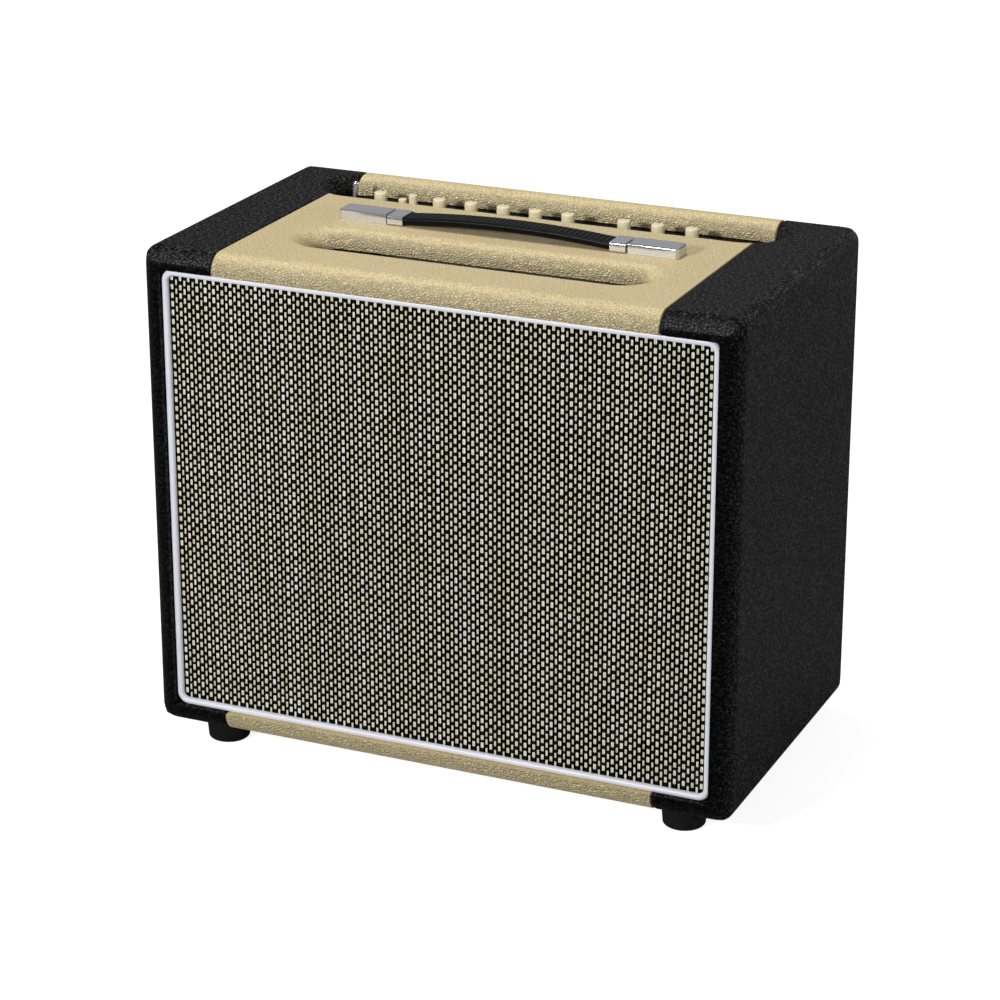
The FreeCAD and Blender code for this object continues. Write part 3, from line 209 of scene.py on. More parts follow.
def vinyl(name):
    # grained vinyl covering: fine grain, gathered into small pebbles where it turns an edge
    look = vinylKinds[name]
    base, light, crease = look["base"], look["light"], look["crease"]
    f = keep(name, Finish(name, base, look["roughness"]))
    wide = f.where((vinylLook["stretch"], 1.0, 1.0))
    shaken = f.shake(vinylLook["wander"], vinylLook["wanderReach"], wide)
    rims = f.cells(vinylLook["pebble"], "DISTANCE_TO_EDGE", shaken)
    domes = f.cells(vinylLook["pebble"], "F1", shaken)
    pebbles = 0.5 - 0.5 * f.fit(domes, 0.1, 0.7) + 0.5 * f.fit(rims, 0.0, 0.2)
    folds = f.noise(vinylLook["folds"], 1.0, 0.5, shaken)
    grain = f.noise(look["fine"], 3.0, 0.75, f.where((0.8, 1.0, 1.2)))
    turn = f.bend(look["wrapped"])
    facing = abs(f.facing("Y"))
    # the upper roundovers, which take the painted pebble highlights and the glossier shader
    corner = turn * f.fit(facing, 0.998, 0.93) * f.fit(f.facing("Z"), 0.05, 0.45)
    share = 0.05 + 0.95 * turn
    lump = pebbles * 0.8 + folds * 0.35
    f.relief(lump * share + grain * 0.2, look["depth"])

    # colour: dark and light grain, painted light on turned edges, painted shade in the creases, painted
    # highlights on the pebble tops, painted shade beside each seam
    low = 1 - f.fit(grain, 0.34, 0.52)
    high = f.fit(grain, 0.47, 0.66)
    blotch = f.fit(f.noise(9.0, 3.0, 0.6), 0.3, 0.7, 0.0, 0.12)
    body = f.mix(low * look["speckle"] + blotch, base, look["dark"])
    # painted sheen and shade: on the black vinyl the pale speckle stands for sheen, kept weaker on faces turned
    # to the front
    paintedFrontShade = 1 - facing * (1 - look["frontSpeckle"])
    body = f.mix(high * (look["speckle"] * paintedFrontShade), body, light)
    # painted light: the turned edges are made paler by the lift share
    body = f.mix(turn * look["lift"], body, light)
    # painted shade: the pebbles' creases on the turned edges are darkened
    body = f.mix(f.fit(rims, 0.12, 0.02) * turn * vinylLook["crease"], body, crease)
    # painted highlight: the pebble tops on the upper roundovers are made pale
    body = f.mix(f.fit(lump, 0.5, 0.85) * corner * look["rim"], body, light)
    if look["wrapped"]:
        beside = f.fit(abs(abs(f.axis("X")) - seam["x"]), seam["shadeFrom"], seam["shadeTo"])
        body = f.mix(beside * seam["shade"], body, crease)
    f.setInputs(Base_Color=body, Roughness=look["roughness"] + 0.2 * grain - 0.1 * turn)
    f.setInputs(**{"Specular IOR Level": look["specular"]})
    if look["glossy"]:
        f.gloss(corner, vinylLook["gloss"], vinylLook["glossRoughness"])


clothLook = dict(column=0.0038, row=0.0075, dashWidth=0.00197, dashLength=0.0047, lift=0.0005, rim=0.0036,
                 warp=0.00095, weft=0.00125, proud=0.00002)


def clothSpan():
    # width of the field of floats, their number each way, and the pitch across
    low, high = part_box("grille_cloth")
    width, height = (high[k] - low[k] - 2 * clothLook["rim"] for k in (0, 2))
    columns, rows = int(width / clothLook["column"]), int(height / clothLook["row"])
    return width, columns, rows, width / (columns - 1)


def clothFinishes():
    ground = keep("clothGround", Finish("clothGround", (3, 3, 3), 1.0))
    width, columns, rows, pitch = clothSpan()
    x = ground.axis("X")
    z = ground.axis("Z")
    warp = abs(((x / clothLook["warp"]) % 1.0) - 0.5) * 2
    weft = abs(((z / clothLook["weft"]) % 1.0) - 0.5) * 2
    ground.relief(warp * 0.5 + weft * 0.5, 0.0004)
    between = abs(((x + width / 2) / pitch + 0.5) % 1.0 - 0.5) * 2
    inColumn = ground.mix(weft, (8, 7, 5), (40, 36, 29))
    ground.setInputs(Base_Color=ground.mix(ground.fit(between, 0.66, 0.46), (2, 2, 2), inColumn))
    ground.setInputs(**{"Specular IOR Level": 0.0})

    yarn = keep("clothYarn", Finish("clothYarn", (246, 240, 206), 0.7))
    shade = yarn.node("ShaderNodeAttribute", {"attribute_name": "shade"}, {}, out="Fac")
    split = yarn.node("ShaderNodeAttribute", {"attribute_name": "across"}, {}, out="Fac")
    strand = yarn.fit(abs(split), 0.03, 0.24)
    fibre = yarn.noise(1.0, 2.0, 0.6, yarn.where((5200.0, 5200.0, 900.0)))
    body = yarn.mix(shade, (236, 226, 188), (255, 255, 246))
    # painted shade: darker along the slit between the two threads of each float
    slitShade = yarn.mix(strand * 0.8 + 0.2, (138, 128, 96), body)
    yarn.setInputs(Base_Color=yarn.mix(fibre * 0.1, slitShade, (190, 182, 146)))
    yarn.relief(strand + fibre * 0.4, 0.0003)


def plainFinishes():
    piping = keep("pipingVinyl", Finish("pipingVinyl", (236, 237, 246), 0.34))
    piping.relief(piping.noise(1800.0, 2.0) * 0.6 + piping.noise(160.0) * 0.4, 0.0001)
    piping.setInputs(Base_Color=piping.mix(piping.fit(piping.noise(30.0), 0.4, 0.75, 0.0, 0.25), (236, 237, 246),
                                      (210, 212, 224)))

    ply = keep("paintedPly", Finish("paintedPly", (22, 21, 20), 0.75))
    grain = ply.noise(6.0, 4.0, 0.6, ply.where((2.0, 18.0, 18.0)))
    ply.setInputs(Base_Color=ply.mix(ply.fit(grain, 0.35, 0.7), (16, 15, 14), (34, 31, 28)))
    ply.relief(grain + ply.noise(400.0, 2.0) * 0.3, 0.0004)

    chrome = keep("chrome", Finish("chrome", (214, 215, 220), 0.09, 0.78))
    smear = chrome.noise(90.0, 3.0, 0.6)
    chrome.setInputs(Roughness=0.05 + 0.12 * smear)
    chrome.relief(chrome.noise(55.0, 2.0), 0.0002)

    strap = keep("strapRubber", Finish("strapRubber", (10, 10, 11), 0.3))
    strap.relief(strap.noise(1500.0, 2.0) * 0.5 + strap.noise(3500.0, 1.0) * 0.4, 0.00007)
    strap.setInputs(Roughness=0.26 + 0.14 * strap.noise(120.0, 3.0),
               Base_Color=strap.mix(strap.fit(strap.noise(40.0), 0.4, 0.8), (5, 5, 6), (12, 12, 13)))
    strap.setInputs(**{"Specular IOR Level": 0.12})

    rubber = keep("footRubber", Finish("footRubber", (12, 12, 12), 0.75))
    rubber.relief(rubber.noise(1600.0, 2.0), 0.0001)
    rubber.setInputs(Base_Color=rubber.mix(rubber.fit(rubber.noise(90.0, 3.0), 0.45, 0.8), (9, 9, 9), (26, 25, 25)))
    rubber.setInputs(**{"Specular IOR Level": 0.25})

    knob = keep("creamKnob", Finish("creamKnob", (248, 234, 194), 0.36))
    knob.setInputs(Base_Color=knob.mix(knob.fit(knob.noise(260.0, 2.0), 0.4, 0.8, 0.0, 0.4), (248, 234, 194),
                                  (230, 211, 164)))
    knob.relief(knob.noise(2200.0, 2.0), 0.00003)
    knob.setInputs(**{"Subsurface Weight": 0.08, "Subsurface Radius": (0.002, 0.0015, 0.001)})

    plate = keep("blackPlate", Finish("blackPlate", (7, 7, 7), 0.42, **{"Specular IOR Level": 0.1}))
    plate.relief(plate.noise(2600.0, 2.0), 0.00004)
    plate.setInputs(Roughness=0.38 + 0.14 * plate.noise(60.0, 2.0))

    zinc = keep("zincSteel", Finish("zincSteel", (168, 168, 160), 0.38, 0.9))
    flakes = zinc.cells(60.0, "F1", out="Color")
    spangle = zinc.node("ShaderNodeSeparateColor", {}, {0: flakes})
    zinc.setInputs(Roughness=0.3 + 0.18 * spangle,
              Base_Color=zinc.mix(spangle * 0.5, (172, 172, 165), (146, 146, 142)))

    screw = keep("screwSteel", Finish("screwSteel", (150, 150, 152), 0.3, 1.0))
    screw.setInputs(Roughness=0.25 + 0.2 * screw.noise(700.0, 2.0))

    paint = keep("blackPaint", Finish("blackPaint", (21, 21, 22), 0.45))
    paint.relief(paint.noise(900.0, 3.0), 0.00012)
    paint.setInputs(Roughness=0.38 + 0.2 * paint.noise(140.0, 2.0))

    cone = keep("conePaper", Finish("conePaper", (40, 37, 34), 0.92))
    pulp = cone.noise(420.0, 4.0, 0.65)
    cone.relief(pulp, 0.0005)
    cone.setInputs(Base_Color=cone.mix(pulp, (26, 24, 22), (66, 62, 56)))

    cap = keep("dustCloth", Finish("dustCloth", (30, 29, 28), 0.9))
    cap.relief(cap.noise(1200.0, 2.0), 0.0002)
    cap.setInputs(Base_Color=cap.mix(cap.noise(300.0, 2.0), (20, 19, 18), (46, 44, 42)))

    spider = keep("spiderCloth", Finish("spiderCloth", (150, 112, 60), 0.85))
    spider.relief(spider.noise(1500.0, 2.0), 0.0003)
    spider.setInputs(Base_Color=spider.mix(spider.noise(500.0, 2.0), (120, 86, 44), (176, 136, 78)))

    ferrite = keep("ferrite", Finish("ferrite", (46, 46, 48), 0.6))
    ferrite.relief(ferrite.noise(350.0, 4.0), 0.0003)
    ferrite.setInputs(Base_Color=ferrite.mix(ferrite.noise(120.0, 3.0), (36, 36, 38), (66, 65, 64)))

    copper = keep("copperWire", Finish("copperWire", (190, 108, 60), 0.3, 1.0))
    turns = copper.axis("Y")
    copper.relief(abs(((turns / 0.0004) % 1.0) - 0.5), 0.0002)

    socketClay = keep("ceramic", Finish("ceramic", (205, 200, 186), 0.45))
    socketClay.relief(socketClay.noise(500.0, 2.0), 0.0001)
    socketClay.setInputs(Base_Color=socketClay.mix(socketClay.noise(90.0, 2.0), (210, 206, 192), (186, 180, 162)))

    gasket = keep("gasketFoam", Finish("gasketFoam", (30, 30, 30), 0.95))
    gasket.relief(gasket.noise(900.0, 3.0), 0.0004)
    gasket.setInputs(Base_Color=gasket.mix(gasket.noise(300.0), (22, 22, 22), (48, 48, 47)))

    glass = keep("tubeGlass", Finish("tubeGlass", (240, 244, 244), 0.03))
    glass.setInputs(**{"Transmission Weight": 1.0, "IOR": 1.2})
    glass.relief(glass.noise(60.0), 0.0002)

    metal = keep("tubePlate", Finish("tubePlate", (70, 70, 72), 0.55, 0.8))
    metal.setInputs(Roughness=0.45 + 0.2 * metal.noise(300.0))
    mica = keep("mica", Finish("mica", (220, 214, 196), 0.4))
    mica.setInputs(Base_Color=mica.mix(mica.noise(300.0), (222, 216, 198), (196, 188, 166)))


for vinylName in vinylKinds:
    vinyl(vinylName)
clothFinishes()
plainFinishes()
print("finishes made:", len(finishes))


def meshCopy(name):
    # the node's triangles, welded and with flat areas joined
    bm = bmesh.new()
    bm.from_mesh(nodes[name].data)
    bmesh.ops.remove_doubles(bm, verts=bm.verts, dist=2e-6)
    bmesh.ops.dissolve_limit(bm, angle_limit=math.radians(0.4), verts=bm.verts, edges=bm.edges)
    return bm


def asObject(name, bm, finish, body="cabinet", sharp=38.0, replaces=()):
    for face in bm.faces:
        face.smooth = True
    for edge in bm.edges:
        edge.smooth = len(edge.link_faces) == 2 and edge.calc_face_angle(0.0) < math.radians(sharp)
    mesh = bpy.data.meshes.new(name)
    bm.to_mesh(mesh)
    bm.free()
    mesh.materials.append(finishes[finish])
    obj = bpy.data.objects.new(name, mesh)
    bpy.context.scene.collection.objects.link(obj)
    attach(obj, body)
    if replaces:
        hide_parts(*replaces)
    return obj


def soften(obj, width, segments=2, angle=40.0):
    bevel = obj.modifiers.new("softEdges", "BEVEL")
    bevel.width = width
    bevel.segments = segments
    bevel.limit_method = "ANGLE"
    bevel.angle_limit = math.radians(angle)
    bevel.use_clamp_overlap = True
    bevel.harden_normals = False
    weigh = obj.modifiers.new("evenShading", "WEIGHTED_NORMAL")
    weigh.keep_sharp = True
    return obj


def dress(node, finish, width=0.0003, body="cabinet", sharp=38.0, segments=2):
    obj = asObject(node + "_dressed", meshCopy(node), finish, body, sharp, (node,))
    return soften(obj, width, segments)


def coveringSeams(bm, coreTree, roll):
    # cuts rows beside each seam and rolls the outer skin down into it
    for side in (-1, 1):
        for away in (-1, 1):
            for k in range(1, seam["steps"] + 1):
                x = side * seam["x"] + away * (seam["half"] + roll * k / seam["steps"])
                parts = bm.verts[:] + bm.edges[:] + bm.faces[:]
                bmesh.ops.bisect_plane(bm, geom=parts, plane_co=(x, 0, 0), plane_no=(1, 0, 0), dist=1e-6)
    bm.normal_update()
    moves = []
    for v in bm.verts:
        near = abs(abs(v.co.x) - seam["x"]) - seam["half"]
        if near > roll:
            continue
        spot, normal, index, gap = coreTree.find_nearest(v.co)
        if gap is None or gap < seam["skin"]:
            continue
        lean = (v.co - spot).normalized()
        drop = roll - math.sqrt(max(0.0, roll * roll - (roll - max(near, 0.0)) ** 2))
        moves.append((v, lean * min(drop, seam["deepest"])))
    for v, shift in moves:
        v.co -= shift


cornerSizes = dict(edge=0.016, corner=0.012, share=0.62, fade=0.009,
                   cuts=(0.0, 0.002, 0.004, 0.006, 0.0085, 0.011, 0.0135))


def cornerReach(u):
    # from the centre of a corner's ball to the routed block, along the direction u
    edge = cornerSizes["edge"]
    step = edge - cornerSizes["corner"]
    a = u.x * u.x + u.z * u.z
    b = step * (u.x + u.z)
    ways = [edge / math.hypot(u.y, u.z), edge / math.hypot(u.x, u.y),
            (b + math.sqrt(max(0.0, b * b - a * (2 * step * step - cornerSizes["corner"] ** 2)))) / a]
    return min(ways)


def easeCorners(bm, low, high):
    # draws the tips where three routed edges meet towards a ball
    edge = cornerSizes["edge"]
    middle = (low + high) / 2
    half = (high - low) / 2

    def depth(co):
        return [edge - half[k] + abs(co[k] - middle[k]) for k in range(3)]

    for cut in cornerSizes["cuts"]:
        for k in range(3):
            for side in (-1, 1):
                spot = middle.copy()
                spot[k] += side * (half[k] - edge + cut)
                way = Vector([side if j == k else 0.0 for j in range(3)])
                faces = bm.faces[:]
                if cut > 0.0:
                    faces = [f for f in faces if all(min(depth(v.co)) > -1e-5 for v in f.verts)]
                parts = set(faces)
                for f in faces:
                    parts.update(f.edges)
                    parts.update(f.verts)
                bmesh.ops.bisect_plane(bm, geom=list(parts), plane_co=spot, plane_no=way, dist=1e-6)
    for v in bm.verts:
        q = Vector(depth(v.co))
        if min(q) <= 1e-6:
            continue
        u = q.normalized()
        reach = cornerReach(u)
        fade = min(1.0, q.y / cornerSizes["fade"])
        fade = fade * fade * (3 - 2 * fade)
        shift = cornerSizes["share"] * fade * max(0.0, reach - edge) * min(1.0, q.length / reach)
        for k in range(3):
            v.co[k] -= math.copysign(u[k] * shift, v.co[k] - middle[k])


blackCoverings = ("black_covering_left", "black_covering_right")
creamCoverings = ("cream_covering_top", "cream_covering_rear_bar", "cream_covering_bottom")
panels = ("top_panel", "bottom_panel", "left_side_panel", "right_side_panel")


def cabinetBox():
    # the outer block of the cabinet, over its coverings
    boxes = [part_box(name) for name in blackCoverings + creamCoverings]
    low = Vector([min(box[0][k] for box in boxes) for k in range(3)])
    high = Vector([max(box[1][k] for box in boxes) for k in range(3)])
    return low, high


def coverings():
    low, high = cabinetBox()
    core = bmesh.new()
    for name in panels:
        core.from_mesh(nodes[name].data)
    coreTree = BVHTree.FromBMesh(core)
    core.free()
    for name in blackCoverings + creamCoverings:
        black = name in blackCoverings
        bm = meshCopy(name)
        coveringSeams(bm, coreTree, seam["blackRoll" if black else "creamRoll"])
        if black:
            easeCorners(bm, low, high)
        obj = asObject(name + "_dressed", bm, "blackVinyl" if black else "creamVinyl", "cabinet", 50.0, (name,))
        soften(obj, 0.0005, 2, 60.0)
    for name in panels:
        bm = meshCopy(name)
        easeCorners(bm, low, high)
        asObject(name + "_dressed", bm, "paintedPly", "cabinet", 38.0, (name,))


coverings()
print("coverings dressed")


def tube(points, radius, around):
    # a round bead along a flat closed path that lies across Y
    bm = bmesh.new()
    rings = []
    count = len(points)
    back = Vector((0, 1, 0))
    for k, p in enumerate(points):
        ahead = points[(k + 1) % count] - points[k - 1]
        ahead.normalize()
        out = back.cross(ahead)
        ring = []
        for j in range(around):
            a = 2 * math.pi * j / around
            ring.append(bm.verts.new(p + out * radius * math.cos(a) + back * radius * math.sin(a)))
        rings.append(ring)
    for k in range(count):
        a = rings[k]
        b = rings[(k + 1) % count]
        for j in range(around):
            bm.faces.new((a[j], a[(j + 1) % around], b[(j + 1) % around], b[j]))
    bmesh.ops.recalc_face_normals(bm, faces=bm.faces)
    return bm


def roundedPath(low, high, y, radius, steps):
    # a rectangle across Y with arcs at its corners
    points = []
    corners = ((high.x, high.z, 0), (low.x, high.z, 90), (low.x, low.z, 180), (high.x, low.z, 270))
    for cx, cz, start in corners:
        x = cx - math.copysign(radius, cx)
        z = cz - radius if cz == high.z else cz + radius
        for k in range(steps + 1):
            a = math.radians(start + 90 * k / steps)
            points.append(Vector((x + radius * math.cos(a), y, z + radius * math.sin(a))))
    return points


pipingSizes = dict(radius=0.003, corner=0.008, around=20, steps=12,
                   tailOut=0.0002, tailIn=0.0009, tailOutCorner=0.0108, tailInCorner=0.0101, tailSteps=8)


def piping():
    low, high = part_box("white_piping")
    r = pipingSizes["radius"]
    inset = Vector((r, 0, r))
    y = low.y + r
    path = roundedPath(low + inset, high - inset, y, pipingSizes["corner"], pipingSizes["steps"])
    bm = tube(path, r, pipingSizes["around"])
    obj = asObject("piping_bead", bm, "pipingVinyl", "cabinet", 60.0, ("white_piping",))
    # the flat tail that the bead is stapled by
    lines = []
    for side, corner in (("tailOut", "tailOutCorner"), ("tailIn", "tailInCorner")):
        step = Vector((pipingSizes[side], 0, pipingSizes[side]))
        lines.append(roundedPath(low + step, high - step, y, pipingSizes[corner], pipingSizes["tailSteps"]))
    outer, inner = lines
    bm = bmesh.new()
    rows = []
    for line, depth in ((outer, y), (outer, high.y), (inner, high.y), (inner, y)):
        rows.append([bm.verts.new(Vector((p.x, depth, p.z))) for p in line])
    for k in range(4):
        a = rows[k]
        b = rows[(k + 1) % 4]
        for j in range(len(a)):
            n = (j + 1) % len(a)
            bm.faces.new((a[j], a[n], b[n], b[j]))
    bmesh.ops.recalc_face_normals(bm, faces=bm.faces)
    tail = asObject("piping_tail", bm, "pipingVinyl", "cabinet", 30.0)


def yarnTree():
    # one raised float per grid point, alternate columns set half a row up
    tree = bpy.data.node_groups.new("yarnFloats", "GeometryNodeTree")
    face = tree.interface
    face.new_socket("Geometry", in_out="OUTPUT", socket_type="NodeSocketGeometry")
    sockets = {}
    for label, kind in (("Width", "Float"), ("Height", "Float"), ("Columns", "Int"), ("Rows", "Int"),
                        ("Float Width", "Float"), ("Float Length", "Float"), ("Lift", "Float"),
                        ("Place", "Vector"), ("Seed", "Int"), ("Material", "Material")):
        sockets[label] = face.new_socket(label, in_out="INPUT", socket_type="NodeSocket" + kind).identifier

    def add(kind, settings=None, inputs=None):
        made = tree.nodes.new(kind)
        for key, value in (settings or {}).items():
            setattr(made, key, value)
        for key, value in (inputs or {}).items():
            if isinstance(value, bpy.types.NodeSocket):
                tree.links.new(value, made.inputs[key])
            else:
                made.inputs[key].default_value = value
        return made

    def calc(operation, a, b=0.0, c=0.0):
        return add("ShaderNodeMath", {"operation": operation}, {0: a, 1: b, 2: c}).outputs[0]

    given = add("NodeGroupInput").outputs
    grid = add("GeometryNodeMeshGrid", {}, {"Size X": given["Width"], "Size Y": given["Height"],
                                            "Vertices X": given["Columns"], "Vertices Y": given["Rows"]})
    column = calc("FLOOR", calc("DIVIDE", add("GeometryNodeInputIndex").outputs[0], given["Rows"]))
    odd = calc("FLOORED_MODULO", column, 2.0)
    half = calc("MULTIPLY", odd,
                calc("DIVIDE", given["Height"], calc("MULTIPLY", calc("SUBTRACT", given["Rows"], 1.0), 2.0)))
    perColumn = add("FunctionNodeRandomValue", {"data_type": "FLOAT"},
                    {"Min": 0.0, "Max": 1.0, "ID": column, "Seed": given["Seed"]}).outputs[1]
    perPoint = add("FunctionNodeRandomValue", {"data_type": "FLOAT"},
                   {"Min": 0.0, "Max": 1.0, "Seed": calc("ADD", given["Seed"], 1.0)}).outputs[1]
    jitter = calc("MULTIPLY", calc("SUBTRACT", perPoint, 0.5), 0.0007)
    shift = add("ShaderNodeCombineXYZ", {}, {0: 0.0, 1: calc("ADD", half, jitter), 2: 0.0}).outputs[0]
    moved = add("GeometryNodeSetPosition", {}, {"Geometry": grid.outputs["Mesh"], "Offset": shift})
    shade = calc("ADD", calc("MULTIPLY", perColumn, 0.45), calc("MULTIPLY", perPoint, 0.6))
    stored = add("GeometryNodeStoreNamedAttribute", {"data_type": "FLOAT", "domain": "POINT"},
                 {"Geometry": moved.outputs[0], "Name": "shade", "Value": shade})
    pill = add("GeometryNodeMeshGrid", {}, {"Size X": 1.0, "Size Y": 1.0, "Vertices X": 5, "Vertices Y": 5})
    spot = add("GeometryNodeInputPosition").outputs[0]
    parts = add("ShaderNodeSeparateXYZ", {}, {0: spot}).outputs

    def gathered(value, power):
        # -1 to 1 across the float, with its rows gathered towards the rims
        size = calc("POWER", calc("MULTIPLY", calc("ABSOLUTE", value), 2.0), power)
        return calc("MULTIPLY", size, calc("SIGN", value))

    u = gathered(parts[0], 0.6)
    v = gathered(parts[1], 0.3)
    uu = calc("MULTIPLY", u, u)
    vv = calc("MULTIPLY", v, v)
    bulge = calc("MULTIPLY", calc("POWER", calc("MAXIMUM", calc("SUBTRACT", 1.0, uu), 0.0), 0.5),
                 calc("POWER", calc("MAXIMUM", calc("SUBTRACT", 1.0, calc("POWER", vv, 4.0)), 0.0), 0.5))
    pinch = calc("SUBTRACT", 1.0, calc("MULTIPLY", calc("POWER", vv, 4.0), 0.15))
    marked = add("GeometryNodeStoreNamedAttribute", {"data_type": "FLOAT", "domain": "POINT"},
                 {"Geometry": pill.outputs["Mesh"], "Name": "across", "Value": u})
    target = add("ShaderNodeCombineXYZ", {}, {
        0: calc("MULTIPLY", calc("MULTIPLY", u, calc("MULTIPLY", given["Float Width"], 0.5)), pinch),
        1: calc("MULTIPLY", v, calc("MULTIPLY", given["Float Length"], 0.5)),
        2: calc("MULTIPLY", bulge, given["Lift"])}).outputs[0]
    formed = add("GeometryNodeSetPosition", {}, {"Geometry": marked.outputs[0], "Position": target})
    stretch = add("ShaderNodeCombineXYZ", {}, {0: calc("ADD", calc("MULTIPLY", perColumn, 0.16),
                                                       calc("ADD", calc("MULTIPLY", odd, 0.34), 0.8)),
                                               1: calc("ADD", calc("MULTIPLY", perPoint, 0.16), 0.9),
                                               2: 1.0}).outputs[0]
    spread = add("GeometryNodeInstanceOnPoints", {},
                 {"Points": stored.outputs[0], "Instance": formed.outputs[0], "Scale": stretch})
    real = add("GeometryNodeRealizeInstances", {}, {"Geometry": spread.outputs[0]})
    stood = add("GeometryNodeTransform", {}, {"Geometry": real.outputs[0], "Translation": given["Place"],
                                              "Rotation": (math.radians(90), 0, 0)})
    smooth = add("GeometryNodeSetShadeSmooth", {}, {0: stood.outputs[0]})
    paint = add("GeometryNodeSetMaterial", {},
                {"Geometry": smooth.outputs[0], "Material": given["Material"]})
    tree.links.new(paint.outputs[0], add("NodeGroupOutput").inputs[0])
    return tree, sockets


def bakedNodes(name, tree, sockets, values, body="cabinet"):
    # runs a Geometry Nodes tree once and keeps its result as a plain mesh
    holder = bpy.data.objects.new(name + "Source", bpy.data.meshes.new(name + "Source"))
    bpy.context.scene.collection.objects.link(holder)
    modifier = holder.modifiers.new("nodes", "NODES")
    modifier.node_group = tree
    for label, value in values.items():
        modifier[sockets[label]] = value
    graph = bpy.context.evaluated_depsgraph_get()
    mesh = bpy.data.meshes.new_from_object(holder.evaluated_get(graph), depsgraph=graph)
    bpy.data.objects.remove(holder)
    obj = bpy.data.objects.new(name, mesh)
    bpy.context.scene.collection.objects.link(obj)
    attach(obj, body)
    return obj


def grilleCloth():
    low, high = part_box("grille_cloth")
    cloth = dress("grille_cloth", "clothGround", 0.0012, segments=3)
    cloth.name = "grille_cloth_ground"
    width, columns, rows, pitch = clothSpan()
    tree, sockets = yarnTree()
    row = clothLook["row"]
    floats = bakedNodes("grille_cloth_floats", tree, sockets, {
        "Width": width, "Height": rows * row - row, "Columns": columns, "Rows": rows,
        "Float Width": clothLook["dashWidth"], "Float Length": clothLook["dashLength"],
        "Lift": clothLook["lift"], "Place": (0.0, low.y + clothLook["proud"], (low.z + high.z) / 2 - row / 4),
        "Seed": 7, "Material": finishes["clothYarn"]})
    print("grille floats:", columns * rows, "faces:", len(floats.data.polygons))


piping()
grilleCloth()


strapSizes = dict(width=0.022, thick=0.0066, rise=0.0042, ease=0.075, reach=0.0925, tuck=0.012,
                  ribPitch=0.0046, ribDepth=0.0008, ribHalf=0.0085, ribFade=0.004, ribEdge=0.0012,
                  square=0.42, rings=360, around=44)


def strapLine(s):
    # point and tangent of the middle of the strap at a distance along it from its crown
    reach = strapSizes["reach"]
    lean = 2 * math.atan(strapSizes["rise"] / reach)
    bigR = reach / math.sin(lean) - strapSizes["ease"]
    side = math.copysign(1, s)
    s = abs(s)
    arch = bigR * lean
    ease = strapSizes["ease"] * lean
    if s < arch:
        a = s / bigR
        x, z = bigR * math.sin(a), strapSizes["rise"] - bigR * (1 - math.cos(a))
        tangent = Vector((math.cos(a), 0, -math.sin(a) * side))
    elif s < arch + ease:
        a = lean - (s - arch) / strapSizes["ease"]
        x = reach - strapSizes["ease"] * math.sin(a)
        z = strapSizes["ease"] * (1 - math.cos(a))
        tangent = Vector((math.cos(a), 0, -math.sin(a) * side))
    else:
        x, z = reach + s - arch - ease, 0.0
        tangent = Vector((1, 0, 0))
    return Vector((x * side, 0, z)), tangent, arch + ease


def strapSection(t):
    # across and up on a squared oval, for a share t of the way round
    w = strapSizes["width"] / 2
    h = strapSizes["thick"] / 2
    a = 2 * math.pi * t
    power = strapSizes["square"]
    c, s = math.cos(a), math.sin(a)
    return w * math.copysign(abs(c) ** power, c), h * math.copysign(abs(s) ** power, s)


def strap():
    low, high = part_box("handle_strap")
    base = Vector(((low.x + high.x) / 2, 0, low.z + strapSizes["thick"] / 2))
    total = strapLine(1.0)[2] + strapSizes["tuck"]
    around = strapSizes["around"]
    bm = bmesh.new()
    rings = []
    for k in range(strapSizes["rings"] + 1):
        s = -total + 2 * total * k / strapSizes["rings"]
        middle, tangent, flat = strapLine(s)
        up = Vector((0, 1, 0)).cross(tangent) * -1
        if up.z < 0:
            up = -up
        fade = max(0.0, min(1.0, (flat - abs(s)) / strapSizes["ribFade"]))
        rib = 0.5 - 0.5 * math.cos(2 * math.pi * s / strapSizes["ribPitch"])
        ring = []
        for j in range(around):
            across, height = strapSection((j + 0.5) / around)
            inside = (strapSizes["ribHalf"] - abs(across)) / strapSizes["ribEdge"] + 0.5
            inside = max(0.0, min(1.0, inside))
            if height > strapSizes["thick"] * 0.3:
                height -= strapSizes["ribDepth"] * rib ** 2 * fade * inside
            ring.append(bm.verts.new(base + middle + Vector((0, across, 0)) + up * height))
        rings.append(ring)
    for a, b in zip(rings, rings[1:]):
        for j in range(around):
            n = (j + 1) % around
            bm.faces.new((a[j], a[n], b[n], b[j]))
    bm.faces.new(rings[0])
    bm.faces.new(list(reversed(rings[-1])))
    bmesh.ops.recalc_face_normals(bm, faces=bm.faces)
    obj = asObject("handle_strap_moulded", bm, "strapRubber", "handle", 60.0, ("handle_strap",))


def handle():
    strap()
    for side in ("left", "right"):
        dress("handle_cap_" + side, "chrome", 0.00025, "cabinet", 30.0, 2)
        dress("handle_ferrule_" + side, "chrome", 0.00025, "handle", 30.0, 2)


handle()
print("handle made")


knobSizes = dict(
    body=0.012, flutes=16, fluteDepth=0.00018,
    foot=((0.0012, 0.0), (0.0004, 0.0002), (0.0, 0.0009)),  # in from the radius, up from the foot
    rim=((0.0, 0.0016), (0.00015, 0.0008), (0.0005, 0.0003),  # in from the radius, down from the top
         (0.001, 0.00005), (0.0016, 0.0), (0.0032, 0.0)),
    dish=0.0001, markWidth=0.0011, markLength=0.0022, markHeight=0.00095,
    markInset=0.0016, markDepth=0.0004, markRound=0.0001, shaft=0.003, overlap=0.002)


